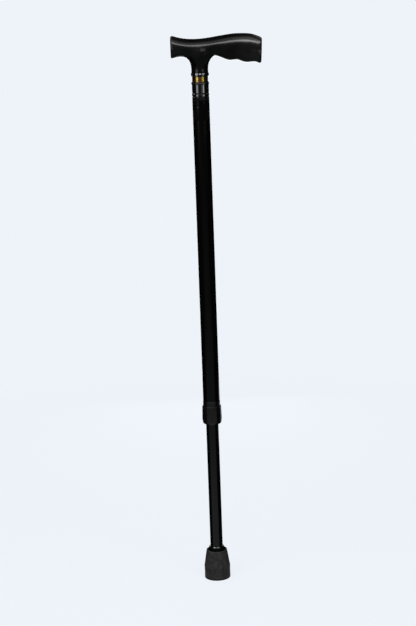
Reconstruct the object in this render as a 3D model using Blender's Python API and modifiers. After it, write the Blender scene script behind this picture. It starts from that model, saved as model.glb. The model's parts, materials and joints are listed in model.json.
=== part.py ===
"""An adjustable walking cane: a moulded T handle on a telescopic aluminium shaft.

Units are metres. The shaft stands on +Z with the sole of its rubber tip on z = 0, the long grip
points along +X, and the row of adjusting holes faces +Y.
"""

import math

import bmesh
import bpy
from mathutils import Vector

MM = 0.001

# Clearances
SEAT_GAP = 0.3 * MM
SLIDE_GAP = 0.3 * MM
MERGE_DISTANCE = 0.01 * MM

# Facets round the turned pieces: the shaft, the bushes inside it, the small pieces, the lock nut
SHAFT_STEPS = 32
BUSH_STEPS = 24
SMALL_STEPS = 20
NUT_SIDES = 12
NUT_STEPS = 3 * NUT_SIDES

# Shaft tubes. The upper tube's diameter follows from what it has to pass.
LOWER_DIAMETER = 19.05 * MM
LOWER_WALL = 1.2 * MM
LOWER_LENGTH = 424.5 * MM
BUSH_WALL = 1.375 * MM
UPPER_WALL = 1.2 * MM
UPPER_LENGTH = 462.5 * MM

# Height setting: a row of holes in the upper tube and a sprung button in the lower one
HOLE_COUNT = 7
HOLE_PITCH = 25.4 * MM
HOLES_BELOW_BUTTON = 3
LOWEST_HOLE_HEIGHT = 40.0 * MM
BUTTON_DIAMETER = 6.4 * MM
BUTTON_DEPTH = 30.0 * MM
BUTTON_PROUD = 2.3 * MM
BUTTON_DOME = 1.0 * MM
BUTTON_FLANGE_WIDTH = 0.8 * MM
BUTTON_FLANGE_THICKNESS = 0.8 * MM
SPRING_THICKNESS = 0.6 * MM
SPRING_WIDTH = 7.0 * MM
SPRING_ABOVE_BUTTON = 9.0 * MM
SPRING_BELOW_BUTTON = 20.0 * MM
SPRING_BEND_STEPS = 8

# Guide bush on the lower tube's upper end
GUIDE_SKIRT = 12.0 * MM
GUIDE_CROWN = 2.5 * MM
GUIDE_LEDGE = 1.3 * MM
GUIDE_CHAMFER = 0.6 * MM

# Threaded bush in the upper tube's lower end
LIP_HEIGHT = 7.2 * MM
LIP_STEP = 0.3 * MM
LIP_CHAMFER = 0.5 * MM
BUSH_PLUG_LENGTH = 24.0 * MM
SPIGOT_WALL = 1.975 * MM

# Split collet between the bush and the nut
COLLET_SEAT_HEIGHT = 4.0 * MM
COLLET_BAND_HEIGHT = 1.6 * MM
COLLET_CROWN_HEIGHT = 4.6 * MM
COLLET_TOE = 0.575 * MM
COLLET_TIP = 0.325 * MM
COLLET_CLEARANCE = 0.5 * MM
COLLET_ENGAGEMENT = 2.6 * MM
COLLET_SLIT = 1.6 * MM

# Lock nut
NUT_HEIGHT = 28.6 * MM
NUT_WALL = 3.1 * MM
NUT_TAPER = 0.6 * MM
NUT_FLOOR = 3.2 * MM
NUT_SKIRT = 6.0 * MM
NUT_RING_STEP = 0.8 * MM
NUT_BEVEL = 3.0 * MM
NUT_CHAMFER = 0.9 * MM
NUT_CORNER_TRIM = 0.2 * MM

# Rubber tip
TIP_HEIGHT = 51.2 * MM
TIP_BASE_DIAMETER = 39.8 * MM
TIP_FLARE_HEIGHT = 19.8 * MM
TIP_FLARE_STEP = 0.15 * MM
TIP_WAIST_STEP = 0.15 * MM
TIP_RIM_DIAMETER = 32.2 * MM
TIP_RIM_HEIGHT = 46.0 * MM
TIP_RIM_ROUNDING = 2.4 * MM
TIP_RIM_INNER_EDGE = 0.3 * MM
TIP_NECK_WALL = 1.7 * MM
TIP_NECK_ROUNDING = 1.2 * MM
TIP_MOAT_WIDTH = 2.9 * MM
TIP_MOAT_DEPTH = 3.8 * MM
TIP_MOAT_FILLET = 1.2 * MM
TIP_FLARE_FOOT = 1.8 * MM
TIP_WAIST_HEIGHT = 11.9 * MM
SOLE_THICKNESS = 7.0 * MM
SOLE_CORNER = 1.0 * MM
TREAD_DEPTH = 1.6 * MM
TREAD_RINGS = 3
TREAD_GROOVE_SHARE = 0.42
TREAD_WALL_DRAFT = 0.4 * MM
TIP_WASHER_THICKNESS = 1.5 * MM
TIP_WASHER_HOLE = 6.0 * MM

# Collar between the shaft and the handle
SLEEVE_LENGTH = 23.1 * MM
SLEEVE_STEP = 0.1 * MM
BEAD_COUNT = 2
BEAD_PITCH = 5.4 * MM
BEAD_HEIGHT = 4.2 * MM
BEAD_DEPTH = 0.8 * MM
BEAD_OVERHANG = 0.1 * MM
FLANGE_OVERHANG = 0.65 * MM
FLANGE_THICKNESS = 3.3 * MM
FLANGE_ROUNDING = 1.0 * MM
COLLAR_PLUG_LENGTH = 25.0 * MM
BAND_DIAMETER = 23.7 * MM
BAND_HEIGHT = 8.4 * MM
BAND_WALL = 1.2 * MM
BAND_CHAMFER = 0.3 * MM
RING_HEIGHT = 4.8 * MM
RIVET_DROP = 11.4 * MM
RIVET_TURN = math.radians(-22.0)
RIVET_SHANK_DIAMETER = 3.0 * MM
RIVET_SHANK_LENGTH = 4.6 * MM
RIVET_HEAD_DIAMETER = 4.8 * MM
RIVET_HEAD_HEIGHT = 0.8 * MM

# Stud that carries the handle
STUD_DIAMETER = 10.0 * MM
STUD_HEAD_WALL = 4.0 * MM
STUD_HEAD_DEPTH = 6.0 * MM
STUD_HEAD_HEIGHT = 15.0 * MM
STUD_END = 3.0 * MM
STUD_WASHER_DIAMETER = 19.0 * MM
STUD_WASHER_THICKNESS = 1.5 * MM
STUD_NUT_WIDTH = 17.0 * MM
STUD_NUT_HEIGHT = 8.0 * MM

# Handle, from the shaft's axis and the neck's base
NOSE_REACH = 42.0 * MM
GRIP_REACH = 91.9 * MM
HANDLE_HEIGHT = 55.4 * MM
GRIP_WIDTH = 30.0 * MM
NECK_DIAMETER = 25.0 * MM
NECK_WAIST = 0.2 * MM
NECK_WAIST_HEIGHT = 5.0 * MM
NECK_ROOT_HEIGHT = 13.9 * MM
NECK_ROOT_FLARE = 0.9 * MM
GRIP_END_LEAN = math.radians(3.0)
GRIP_LEAN_RAMP = 8
CROWN_DROP = 0.36
SIDE_HEIGHT = 0.45
UNDERSIDE_RISE = 0.34
SHOULDER_WIDTH = 0.74
END_CREASE = 0.8
SURFACE_LEVELS = 2
SETTLING_PASSES = 60

# Sections of the handle from nose to grip end: reach as a share of the nose's (below 0) or of the
# grip's, crown and underside as shares of the handle's height, half width and the width low on the
# flank as shares of half the grip's width. The crests and hollows of the underside are the finger
# hollows.
HANDLE_SECTIONS = (
    (-1.000, 0.945, 0.412, 0.77, 0.60),
    (-0.955, 0.982, 0.386, 0.88, 0.69),
    (-0.848, 0.967, 0.397, 0.91, 0.71),
    (-0.667, 0.929, 0.419, 0.90, 0.72),
    (-0.392, 0.895, 0.401, 0.89, 0.74),
    (0.000, 0.888, 0.399, 0.90, 0.86),
    (0.191, 0.919, 0.422, 0.92, 0.76),
    (0.292, 0.944, 0.405, 0.94, 0.74),
    (0.389, 0.965, 0.339, 0.97, 0.76),
    (0.490, 0.987, 0.287, 1.00, 0.78),
    (0.589, 0.999, 0.297, 1.00, 0.78),
    (0.670, 0.998, 0.255, 1.00, 0.78),
    (0.751, 0.993, 0.220, 1.00, 0.78),
    (0.837, 0.973, 0.226, 0.98, 0.77),
    (0.907, 0.936, 0.218, 0.95, 0.75),
    (0.950, 0.905, 0.190, 0.92, 0.72),
    (0.983, 0.876, 0.196, 0.87, 0.67),
    (1.000, 0.843, 0.231, 0.77, 0.58),
)
NECK_SECTION = 5

# Radii that follow from the sizes above
LOWER_RADIUS = LOWER_DIAMETER / 2
LOWER_BORE = LOWER_RADIUS - LOWER_WALL
RUNNING_BORE = LOWER_RADIUS + SLIDE_GAP
PLUG_RADIUS = RUNNING_BORE + BUSH_WALL
UPPER_BORE = PLUG_RADIUS + SEAT_GAP
UPPER_RADIUS = UPPER_BORE + UPPER_WALL
SPIGOT_RADIUS = RUNNING_BORE + SPIGOT_WALL
NUT_BORE = SPIGOT_RADIUS + SLIDE_GAP
NUT_RADIUS = NUT_BORE + NUT_WALL
COLLET_RADIUS = NUT_BORE - COLLET_CLEARANCE
SLEEVE_RADIUS = UPPER_RADIUS - SLEEVE_STEP
FLANGE_RADIUS = UPPER_RADIUS + FLANGE_OVERHANG
STUD_RADIUS = STUD_DIAMETER / 2
STUD_BORE = STUD_RADIUS + SEAT_GAP
STUD_HEAD_RADIUS = NECK_DIAMETER / 2 - STUD_HEAD_WALL

# Heights that follow, from the sole upwards
TIP_WASHER_Z = SOLE_THICKNESS + SEAT_GAP
LOWER_Z = TIP_WASHER_Z + TIP_WASHER_THICKNESS + SEAT_GAP
LOWER_TOP = LOWER_Z + LOWER_LENGTH
BUTTON_Z = LOWER_TOP - BUTTON_DEPTH
UPPER_Z = BUTTON_Z - LOWEST_HOLE_HEIGHT - HOLES_BELOW_BUTTON * HOLE_PITCH
UPPER_TOP = UPPER_Z + UPPER_LENGTH
LIP_Z = UPPER_Z - SEAT_GAP - LIP_HEIGHT
NUT_Z = LIP_Z - SEAT_GAP - NUT_HEIGHT
COLLET_Z = NUT_Z + NUT_FLOOR + SEAT_GAP
COLLET_HEIGHT = COLLET_SEAT_HEIGHT + COLLET_BAND_HEIGHT + COLLET_CROWN_HEIGHT
COLLAR_Z = UPPER_TOP + SEAT_GAP
BAND_Z = COLLAR_Z + SLEEVE_LENGTH + FLANGE_THICKNESS + SEAT_GAP
RING_Z = BAND_Z + BAND_HEIGHT + SEAT_GAP
HANDLE_Z = RING_Z + RING_HEIGHT + SEAT_GAP
STUD_WASHER_Z = COLLAR_Z - COLLAR_PLUG_LENGTH - SEAT_GAP - STUD_WASHER_THICKNESS
STUD_NUT_Z = STUD_WASHER_Z - SEAT_GAP - STUD_NUT_HEIGHT
STUD_Z = STUD_NUT_Z - STUD_END
STUD_HEAD_Z = HANDLE_Z + STUD_HEAD_DEPTH

CUTTER_REACH = 5.0 * MM


# Scene and objects

def clear_scene():
    for thing in list(bpy.data.objects):
        bpy.data.objects.remove(thing, do_unlink=True)


def new_collection(name):
    collection = bpy.data.collections.new(name)
    bpy.context.scene.collection.children.link(collection)
    return collection


def new_material(name, colour, roughness, metallic=0.0):
    material = bpy.data.materials.new(name)
    material.use_nodes = True
    shader = material.node_tree.nodes["Principled BSDF"]
    shader.inputs["Base Color"].default_value = (*colour, 1.0)
    shader.inputs["Roughness"].default_value = roughness
    shader.inputs["Metallic"].default_value = metallic
    material.diffuse_color = (*colour, 1.0)
    return material


def add_object(name, data, collection, height=0.0, material=None):
    thing = bpy.data.objects.new(name, data)
    thing.location.z = height
    collection.objects.link(thing)
    if material is not None:
        data.materials.append(material)
    return thing


def add_empty(name, collection, height=0.0):
    empty = bpy.data.objects.new(name, None)
    empty.empty_display_size = UPPER_RADIUS
    empty.location.z = height
    collection.objects.link(empty)
    return empty


def as_cutter(thing):
    thing.display_type = "WIRE"
    thing.hide_render = True
    return thing


def join_shapes(target, other, operation):
    modifier = target.modifiers.new(operation.lower() + "_" + other.name, "BOOLEAN")
    modifier.operation = operation
    modifier.object = other


# Shapes

def arc(centre_radius, centre_height, reach, start, end, steps, rise=None):
    """Points of a profile on an arc, from one angle to another, in degrees.

    With a rise, the arc is part of an ellipse with that half height.
    """
    if rise is None:
        rise = reach
    points = []
    for i in range(steps + 1):
        angle = math.radians(start + (end - start) * i / steps)
        radius = centre_radius + reach * math.cos(angle)
        points.append((radius, centre_height + rise * math.sin(angle)))
    return points


def turned(name, profile, collection, height=0.0, material=None, steps=SHAFT_STEPS, closed=True):
    """A body of revolution about Z. The profile is (radius, height) down the outer side first."""
    mesh = bpy.data.meshes.new(name)
    count = len(profile)
    edges = [(i, i + 1) for i in range(count - 1)]
    if closed:
        edges.append((count - 1, 0))
    mesh.from_pydata([(radius, 0.0, z) for radius, z in profile], edges, [])
    thing = add_object(name, mesh, collection, height, material)
    screw = thing.modifiers.new("turn", "SCREW")
    screw.axis = "Z"
    screw.steps = steps
    screw.render_steps = steps
    screw.use_merge_vertices = True
    screw.merge_threshold = MERGE_DISTANCE
    screw.use_smooth_shade = True
    return thing


def ring_profile(outer, inner, bottom, top):
    return [(outer, top), (outer, bottom), (inner, bottom), (inner, top)]


def flat_plate(name, outline, holes, thickness, collection, height, material):
    """A plate with a straight outline and round holes, standing on the given height."""
    curve = bpy.data.curves.new(name, "CURVE")
    curve.dimensions = "2D"
    curve.fill_mode = "BOTH"
    curve.extrude = thickness / 2
    for points in [outline] + holes:
        spline = curve.splines.new("POLY")
        spline.points.add(len(points) - 1)
        for point, (x, y) in zip(spline.points, points):
            point.co = (x, y, 0.0, 1.0)
        spline.use_cyclic_u = True
    return add_object(name, curve, collection, height + thickness / 2, material)


def circle(radius, steps, turn=0.0):
    points = []
    for i in range(steps):
        angle = turn + math.tau * i / steps
        points.append((radius * math.cos(angle), radius * math.sin(angle)))
    return points


def radial_cutter(name, radius, near, far, height, turn, collection):
    """A round cutter that lies along a radius of the shaft. A turn of 0 points along +Y."""
    mesh = bpy.data.meshes.new(name)
    shape = bmesh.new()
    bmesh.ops.create_cone(
        shape, cap_ends=True, segments=SMALL_STEPS, radius1=radius, radius2=radius, depth=far - near
    )
    bmesh.ops.translate(shape, verts=shape.verts, vec=(0.0, 0.0, (near + far) / 2))
    shape.to_mesh(mesh)
    shape.free()
    cutter = add_object(name, mesh, collection, height)
    cutter.rotation_euler = (-math.pi / 2, 0.0, turn)
    return as_cutter(cutter)


# Rubber tip and the lower tube

def rubber_tip_profile():
    base = TIP_BASE_DIAMETER / 2
    flare = base + TIP_FLARE_STEP
    rim = TIP_RIM_DIAMETER / 2
    bore = LOWER_RADIUS + SEAT_GAP
    neck = bore + TIP_NECK_WALL
    crest = neck + TIP_MOAT_WIDTH
    floor = TIP_RIM_HEIGHT - TIP_MOAT_DEPTH
    middle = (crest + rim) / 2
    cone = TIP_RIM_HEIGHT - TIP_FLARE_HEIGHT
    mouth = TIP_NECK_ROUNDING
    fillet = TIP_MOAT_FILLET
    points = [(0.0, SOLE_THICKNESS), (bore, SOLE_THICKNESS), (bore, TIP_HEIGHT)]
    points += arc(neck - mouth, TIP_HEIGHT - mouth, mouth, 90.0, 0.0, 2)
    points += arc(neck + fillet, floor + fillet, fillet, 180.0, 270.0, 2)
    points.append((crest, TIP_RIM_HEIGHT - TIP_RIM_INNER_EDGE))
    points += arc(
        middle, TIP_RIM_HEIGHT - TIP_RIM_ROUNDING, rim - middle, 90.0, 0.0, 3, TIP_RIM_ROUNDING
    )
    # the cone opens a little faster towards its foot
    points += [(rim + 0.38 * (flare - rim), TIP_FLARE_HEIGHT + 0.57 * cone)]
    points += [(rim + 0.73 * (flare - rim), TIP_FLARE_HEIGHT + 0.22 * cone)]
    points += [(flare, TIP_FLARE_HEIGHT), (base, TIP_FLARE_HEIGHT - TIP_FLARE_FOOT)]
    points += [(base - TIP_WAIST_STEP, TIP_WAIST_HEIGHT), (base, 2 * SOLE_CORNER)]
    points += arc(base - SOLE_CORNER, SOLE_CORNER, SOLE_CORNER, 0.0, -90.0, 3)
    # rings of tread between the sole's edge and its flat middle
    ring_step = (base - SOLE_CORNER) / (TREAD_RINGS + 0.5)
    for ring in range(TREAD_RINGS):
        outside = base - SOLE_CORNER - ring * ring_step - 0.5 * ring_step
        inside = outside - TREAD_GROOVE_SHARE * ring_step
        points += [(outside, 0.0), (outside - TREAD_WALL_DRAFT, TREAD_DEPTH)]
        points += [(inside + TREAD_WALL_DRAFT, TREAD_DEPTH), (inside, 0.0)]
    points.append((0.0, 0.0))
    return points


def build_lower(parts, cutters, look):
    lower = add_empty("lower_shaft", parts)
    tip = turned("rubber_tip", rubber_tip_profile(), parts, 0.0, look["rubber"], closed=False)
    washer = turned(
        "tip_washer",
        ring_profile(LOWER_RADIUS, TIP_WASHER_HOLE / 2, 0.0, TIP_WASHER_THICKNESS),
        parts, TIP_WASHER_Z, look["steel"], SMALL_STEPS,
    )
    tube = turned(
        "lower_tube", ring_profile(LOWER_RADIUS, LOWER_BORE, 0.0, LOWER_LENGTH), parts, LOWER_Z, look["tube"]
    )
    button_hole = radial_cutter(
        "button_hole", BUTTON_DIAMETER / 2 + SLIDE_GAP, LOWER_BORE / 2, LOWER_RADIUS + CUTTER_REACH,
        BUTTON_Z, 0.0, cutters,
    )
    join_shapes(tube, button_hole, "DIFFERENCE")
    ledge = LOWER_BORE - GUIDE_LEDGE
    top = SEAT_GAP + GUIDE_CROWN
    running = UPPER_BORE - SLIDE_GAP
    guide_profile = [
        (ledge, top),
        (running - GUIDE_CHAMFER, top),
        (running, top - GUIDE_CHAMFER),
        (running, GUIDE_CHAMFER - GUIDE_SKIRT),
        (running - GUIDE_CHAMFER, -GUIDE_SKIRT),
        (LOWER_RADIUS + SEAT_GAP, -GUIDE_SKIRT),
        (LOWER_RADIUS + SEAT_GAP, SEAT_GAP),
        (ledge, SEAT_GAP),
    ]
    guide = turned("guide_bush", guide_profile, parts, LOWER_TOP, look["nylon"], BUSH_STEPS)
    for piece in (tip, washer, tube, guide):
        piece.parent = lower
    return lower


# Snap button and its spring

def button_heights():
    """Underside and top of the button's flange, and the button's end, out from the shaft's axis."""
    flange_radius = BUTTON_DIAMETER / 2 + BUTTON_FLANGE_WIDTH
    # the flange is flat and the tube's bore round, so the flange's rim touches first
    flange_top = math.sqrt(LOWER_BORE ** 2 - flange_radius ** 2) - SEAT_GAP
    return flange_top - BUTTON_FLANGE_THICKNESS, flange_top, UPPER_RADIUS + BUTTON_PROUD


def build_button(parts, look, lower):
    under, flange_top, end = button_heights()
    radius = BUTTON_DIAMETER / 2
    profile = [(0.0, end)]
    profile += arc(0.0, end - BUTTON_DOME, radius, 60.0, 0.0, 2, BUTTON_DOME)
    profile += [
        (radius, flange_top),
        (radius + BUTTON_FLANGE_WIDTH, flange_top),
        (radius + BUTTON_FLANGE_WIDTH, under),
        (0.0, under),
    ]
    button = turned("snap_button", profile, parts, BUTTON_Z, look["steel"], SMALL_STEPS, closed=False)
    button.rotation_euler = (-math.pi / 2, 0.0, 0.0)
    button.parent = lower


def spring_path():
    """The hairpin's middle line in the plane x = 0, from behind the button round to the far leg."""
    half = SPRING_THICKNESS / 2
    near = button_heights()[0] - SEAT_GAP - half
    far = -(math.sqrt(LOWER_BORE ** 2 - (SPRING_WIDTH / 2) ** 2) - SEAT_GAP - half)
    bend = (near - far) / 2
    middle = (near + far) / 2
    path = [(near, SPRING_ABOVE_BUTTON), (near, 0.0), (near, -SPRING_BELOW_BUTTON)]
    for i in range(1, SPRING_BEND_STEPS):
        angle = math.pi * i / SPRING_BEND_STEPS
        path.append((middle + bend * math.cos(angle), -SPRING_BELOW_BUTTON - bend * math.sin(angle)))
    path += [(far, -SPRING_BELOW_BUTTON), (far, SPRING_ABOVE_BUTTON)]
    return path


def build_spring(parts, look, lower):
    mesh = bpy.data.meshes.new("button_spring")
    strip = bmesh.new()
    left = None
    for y, z in spring_path():
        here = [strip.verts.new((side * SPRING_WIDTH / 2, y, z)) for side in (-1, 1)]
        if left is not None:
            strip.faces.new((left[0], left[1], here[1], here[0]))
        left = here
    strip.to_mesh(mesh)
    strip.free()
    spring = add_object("button_spring", mesh, parts, BUTTON_Z, look["steel"])
    wall = spring.modifiers.new("thickness", "SOLIDIFY")
    wall.thickness = SPRING_THICKNESS
    wall.offset = 0.0
    wall.use_even_offset = True
    spring.parent = lower


# Threaded bush, collet and lock nut

def crown_radius(height):
    """The collet's outer radius on its upper taper, at a height above the collet's foot."""
    start = COLLET_SEAT_HEIGHT + COLLET_BAND_HEIGHT
    tip = RUNNING_BORE + COLLET_TIP
    share = (height - start) / COLLET_CROWN_HEIGHT
    return COLLET_RADIUS + (tip - COLLET_RADIUS) * share


def build_bush(parts, look, upper):
    spigot_end = COLLET_Z + COLLET_HEIGHT - COLLET_ENGAGEMENT
    end = spigot_end - LIP_Z
    taper = (COLLET_RADIUS - RUNNING_BORE - COLLET_TIP) / COLLET_CROWN_HEIGHT
    gap = SEAT_GAP * math.hypot(1.0, taper)
    mouth = crown_radius(COLLET_HEIGHT - COLLET_ENGAGEMENT) + gap
    taper_end = end + (mouth - RUNNING_BORE) / taper
    lip = UPPER_RADIUS + LIP_STEP
    profile = [
        (RUNNING_BORE, LIP_HEIGHT + BUSH_PLUG_LENGTH),
        (PLUG_RADIUS - LIP_CHAMFER, LIP_HEIGHT + BUSH_PLUG_LENGTH),
        (PLUG_RADIUS, LIP_HEIGHT + BUSH_PLUG_LENGTH - LIP_CHAMFER),
        (PLUG_RADIUS, LIP_HEIGHT),
        (lip - LIP_CHAMFER, LIP_HEIGHT),
        (lip, LIP_HEIGHT - LIP_CHAMFER),
        (lip, 0.0),
        (SPIGOT_RADIUS, 0.0),
        (SPIGOT_RADIUS, end),
        (mouth, end),
        (RUNNING_BORE, taper_end),
    ]
    bush = turned("threaded_bush", profile, parts, LIP_Z, look["plastic"])
    bush.parent = upper


def build_collet(parts, cutters, look, nut_axis):
    toe = RUNNING_BORE + COLLET_TOE
    profile = [
        (RUNNING_BORE, COLLET_HEIGHT),
        (RUNNING_BORE + COLLET_TIP, COLLET_HEIGHT),
        (COLLET_RADIUS, COLLET_SEAT_HEIGHT + COLLET_BAND_HEIGHT),
        (COLLET_RADIUS, COLLET_SEAT_HEIGHT),
        (toe, 0.0),
        (RUNNING_BORE, 0.0),
    ]
    collet = turned("split_collet", profile, parts, COLLET_Z - NUT_Z, look["nylon"], BUSH_STEPS)
    mesh = bpy.data.meshes.new("collet_slit")
    shape = bmesh.new()
    bmesh.ops.create_cube(shape, size=1.0)
    reach = COLLET_RADIUS - RUNNING_BORE + 2 * CUTTER_REACH
    bmesh.ops.scale(shape, vec=(reach, COLLET_SLIT, COLLET_HEIGHT + CUTTER_REACH), verts=shape.verts)
    shape.to_mesh(mesh)
    shape.free()
    slit = as_cutter(add_object("collet_slit", mesh, cutters, COLLET_Z + COLLET_HEIGHT / 2))
    slit.location.x = (COLLET_RADIUS + RUNNING_BORE) / 2
    join_shapes(collet, slit, "DIFFERENCE")
    collet.parent = nut_axis


def build_nut(parts, cutters, look, nut_axis):
    ring = NUT_RADIUS - NUT_RING_STEP
    round_radius = NUT_RADIUS - NUT_CORNER_TRIM
    slope = (COLLET_RADIUS - RUNNING_BORE - COLLET_TOE) / COLLET_SEAT_HEIGHT
    seat = RUNNING_BORE + COLLET_TOE + SEAT_GAP * (math.hypot(1.0, slope) - slope)
    seat_end = NUT_FLOOR + (NUT_BORE - seat) / slope
    blank = [
        (NUT_BORE, NUT_HEIGHT),
        (round_radius - NUT_TAPER - NUT_CHAMFER, NUT_HEIGHT),
        (round_radius - NUT_TAPER, NUT_HEIGHT - NUT_CHAMFER),
        (round_radius, NUT_SKIRT),
        (ring, NUT_SKIRT),
        (ring, NUT_BEVEL),
        (ring - 0.3 * NUT_BEVEL, 0.3 * NUT_BEVEL),
        (ring - 0.75 * NUT_BEVEL, 0.0),
        (RUNNING_BORE, 0.0),
        (RUNNING_BORE, NUT_FLOOR),
        (seat, NUT_FLOOR),
        (NUT_BORE, seat_end),
    ]
    nut = turned("lock_nut", blank, parts, 0.0, look["plastic"], NUT_STEPS)
    # a turned shape of few steps has flat sides, and only its grip lies inside the blank
    wide = NUT_RADIUS + CUTTER_REACH
    flats = [
        (0.0, NUT_HEIGHT + CUTTER_REACH),
        (NUT_RADIUS - NUT_TAPER, NUT_HEIGHT + CUTTER_REACH),
        (NUT_RADIUS - NUT_TAPER, NUT_HEIGHT),
        (NUT_RADIUS, NUT_SKIRT),
        (wide, NUT_SKIRT),
        (wide, -CUTTER_REACH),
        (0.0, -CUTTER_REACH),
    ]
    sides = turned("nut_sides", flats, cutters, NUT_Z, None, NUT_SIDES, closed=False)
    as_cutter(sides)
    join_shapes(nut, sides, "INTERSECT")
    nut.parent = nut_axis


# Upper tube and collar

def build_upper_tube(parts, cutters, look, upper):
    tube = turned(
        "upper_tube", ring_profile(UPPER_RADIUS, UPPER_BORE, 0.0, UPPER_LENGTH), parts, UPPER_Z, look["tube"]
    )
    for hole in range(HOLE_COUNT):
        cutter = radial_cutter(
            "height_hole_" + str(hole + 1), BUTTON_DIAMETER / 2 + SLIDE_GAP, UPPER_BORE / 2,
            UPPER_RADIUS + CUTTER_REACH, UPPER_Z + LOWEST_HOLE_HEIGHT + hole * HOLE_PITCH, 0.0, cutters,
        )
        join_shapes(tube, cutter, "DIFFERENCE")
    tube.parent = upper
    return tube


def bead_points(bottom):
    """One bead of the collar, from its upper edge down."""
    valley = UPPER_RADIUS + BEAD_OVERHANG - BEAD_DEPTH
    return arc(valley, bottom + BEAD_HEIGHT / 2, BEAD_DEPTH, 90.0, -90.0, 4, BEAD_HEIGHT / 2)


def build_collar(parts, cutters, look, upper, tube):
    spigot = BAND_DIAMETER / 2 - BAND_WALL - SEAT_GAP
    flange_top = SLEEVE_LENGTH + FLANGE_THICKNESS
    spigot_top = flange_top + SEAT_GAP + BAND_HEIGHT
    rounding = FLANGE_ROUNDING
    profile = [(STUD_BORE, spigot_top), (spigot, spigot_top), (spigot, flange_top)]
    profile += arc(FLANGE_RADIUS - rounding, flange_top - rounding, rounding, 90.0, 0.0, 2)
    profile += arc(FLANGE_RADIUS - rounding, SLEEVE_LENGTH + rounding, rounding, 0.0, -90.0, 2)
    profile += [(SLEEVE_RADIUS, SLEEVE_LENGTH), (SLEEVE_RADIUS, BEAD_COUNT * BEAD_PITCH)]
    for bead in reversed(range(BEAD_COUNT)):
        profile += bead_points(bead * BEAD_PITCH)
    profile += [(PLUG_RADIUS, 0.0), (PLUG_RADIUS, -COLLAR_PLUG_LENGTH), (STUD_BORE, -COLLAR_PLUG_LENGTH)]
    sleeve = turned("collar_sleeve", profile, parts, COLLAR_Z, look["gloss"])
    rivet_z = COLLAR_Z - RIVET_DROP
    rivet_seat = UPPER_RADIUS - RIVET_SHANK_LENGTH - SEAT_GAP
    # a turn of half a circle points the rivet at -Y, the front
    front = math.pi + RIVET_TURN
    hole = radial_cutter(
        "rivet_hole", RIVET_SHANK_DIAMETER / 2 + SEAT_GAP, rivet_seat, UPPER_RADIUS + CUTTER_REACH,
        rivet_z, front, cutters,
    )
    join_shapes(sleeve, hole, "DIFFERENCE")
    join_shapes(tube, hole, "DIFFERENCE")
    head_base = UPPER_RADIUS + SEAT_GAP
    head_radius = RIVET_HEAD_DIAMETER / 2
    rivet_profile = [(0.0, head_base + RIVET_HEAD_HEIGHT)]
    rivet_profile += arc(0.0, head_base, head_radius, 60.0, 0.0, 2, RIVET_HEAD_HEIGHT)
    rivet_profile += [
        (RIVET_SHANK_DIAMETER / 2, head_base),
        (RIVET_SHANK_DIAMETER / 2, rivet_seat + SEAT_GAP),
        (0.0, rivet_seat + SEAT_GAP),
    ]
    rivet = turned("collar_rivet", rivet_profile, parts, rivet_z, look["gloss"], SMALL_STEPS, closed=False)
    rivet.rotation_euler = (-math.pi / 2, 0.0, front)
    sleeve.parent = upper
    rivet.parent = upper


def build_rings(parts, look, upper):
    outer = BAND_DIAMETER / 2
    inner = outer - BAND_WALL
    band_profile = [
        (inner, BAND_HEIGHT),
        (outer - BAND_CHAMFER, BAND_HEIGHT),
        (outer, BAND_HEIGHT - BAND_CHAMFER),
        (outer, BAND_CHAMFER),
        (outer - BAND_CHAMFER, 0.0),
        (inner, 0.0),
    ]
    band = turned("gold_band", band_profile, parts, BAND_Z, look["gold"])
    rounding = FLANGE_ROUNDING
    ring_outline = [(STUD_BORE, RING_HEIGHT)]
    ring_outline += arc(FLANGE_RADIUS - rounding, RING_HEIGHT - rounding, rounding, 90.0, 0.0, 2)
    ring_outline += arc(FLANGE_RADIUS - rounding, rounding, rounding, 0.0, -90.0, 2)
    ring_outline.append((STUD_BORE, 0.0))
    ring = turned("collar_top_ring", ring_outline, parts, RING_Z, look["gloss"])
    band.parent = upper
    ring.parent = upper


# Stud, washer and nut

def stud_shape(name, collection, extra, material=None):
    """The stud, or the room for it in the handle: a round shank and a six-sided head."""
    profile = [
        (0.0, STUD_HEAD_Z + STUD_HEAD_HEIGHT / 2 - STUD_Z),
        (STUD_RADIUS + extra, STUD_HEAD_Z + STUD_HEAD_HEIGHT / 2 - STUD_Z),
        (STUD_RADIUS + extra, -extra),
        (0.0, -extra),
    ]
    stud = turned(name, profile, collection, STUD_Z, material, SMALL_STEPS, closed=False)
    mesh = bpy.data.meshes.new(name + "_head")
    shape = bmesh.new()
    radius = STUD_HEAD_RADIUS + extra / math.cos(math.pi / 6)
    bmesh.ops.create_cone(
        shape, cap_ends=True, segments=6, radius1=radius, radius2=radius, depth=STUD_HEAD_HEIGHT + 2 * extra
    )
    shape.to_mesh(mesh)
    shape.free()
    return stud, mesh


def build_stud(parts, cutters, look, upper):
    stud, head_mesh = stud_shape("handle_stud", parts, 0.0, look["steel"])
    middle = STUD_HEAD_Z + STUD_HEAD_HEIGHT / 2
    head = as_cutter(add_object("stud_head", head_mesh, cutters, middle))
    join_shapes(stud, head, "UNION")
    room, room_head_mesh = stud_shape("stud_room", cutters, SEAT_GAP)
    room_head = as_cutter(add_object("stud_room_head", room_head_mesh, cutters, middle))
    join_shapes(as_cutter(room), room_head, "UNION")
    washer = turned(
        "stud_washer",
        ring_profile(STUD_WASHER_DIAMETER / 2, STUD_BORE, 0.0, STUD_WASHER_THICKNESS),
        parts, STUD_WASHER_Z, look["steel"], SMALL_STEPS,
    )
    corner = STUD_NUT_WIDTH / 2 / math.cos(math.pi / 6)
    nut = flat_plate(
        "stud_nut", circle(corner, 6), [circle(STUD_BORE, SMALL_STEPS)], STUD_NUT_HEIGHT,
        parts, STUD_NUT_Z, look["steel"],
    )
    for piece in (stud, washer, nut):
        piece.parent = upper
    return room


# Handle

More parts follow.
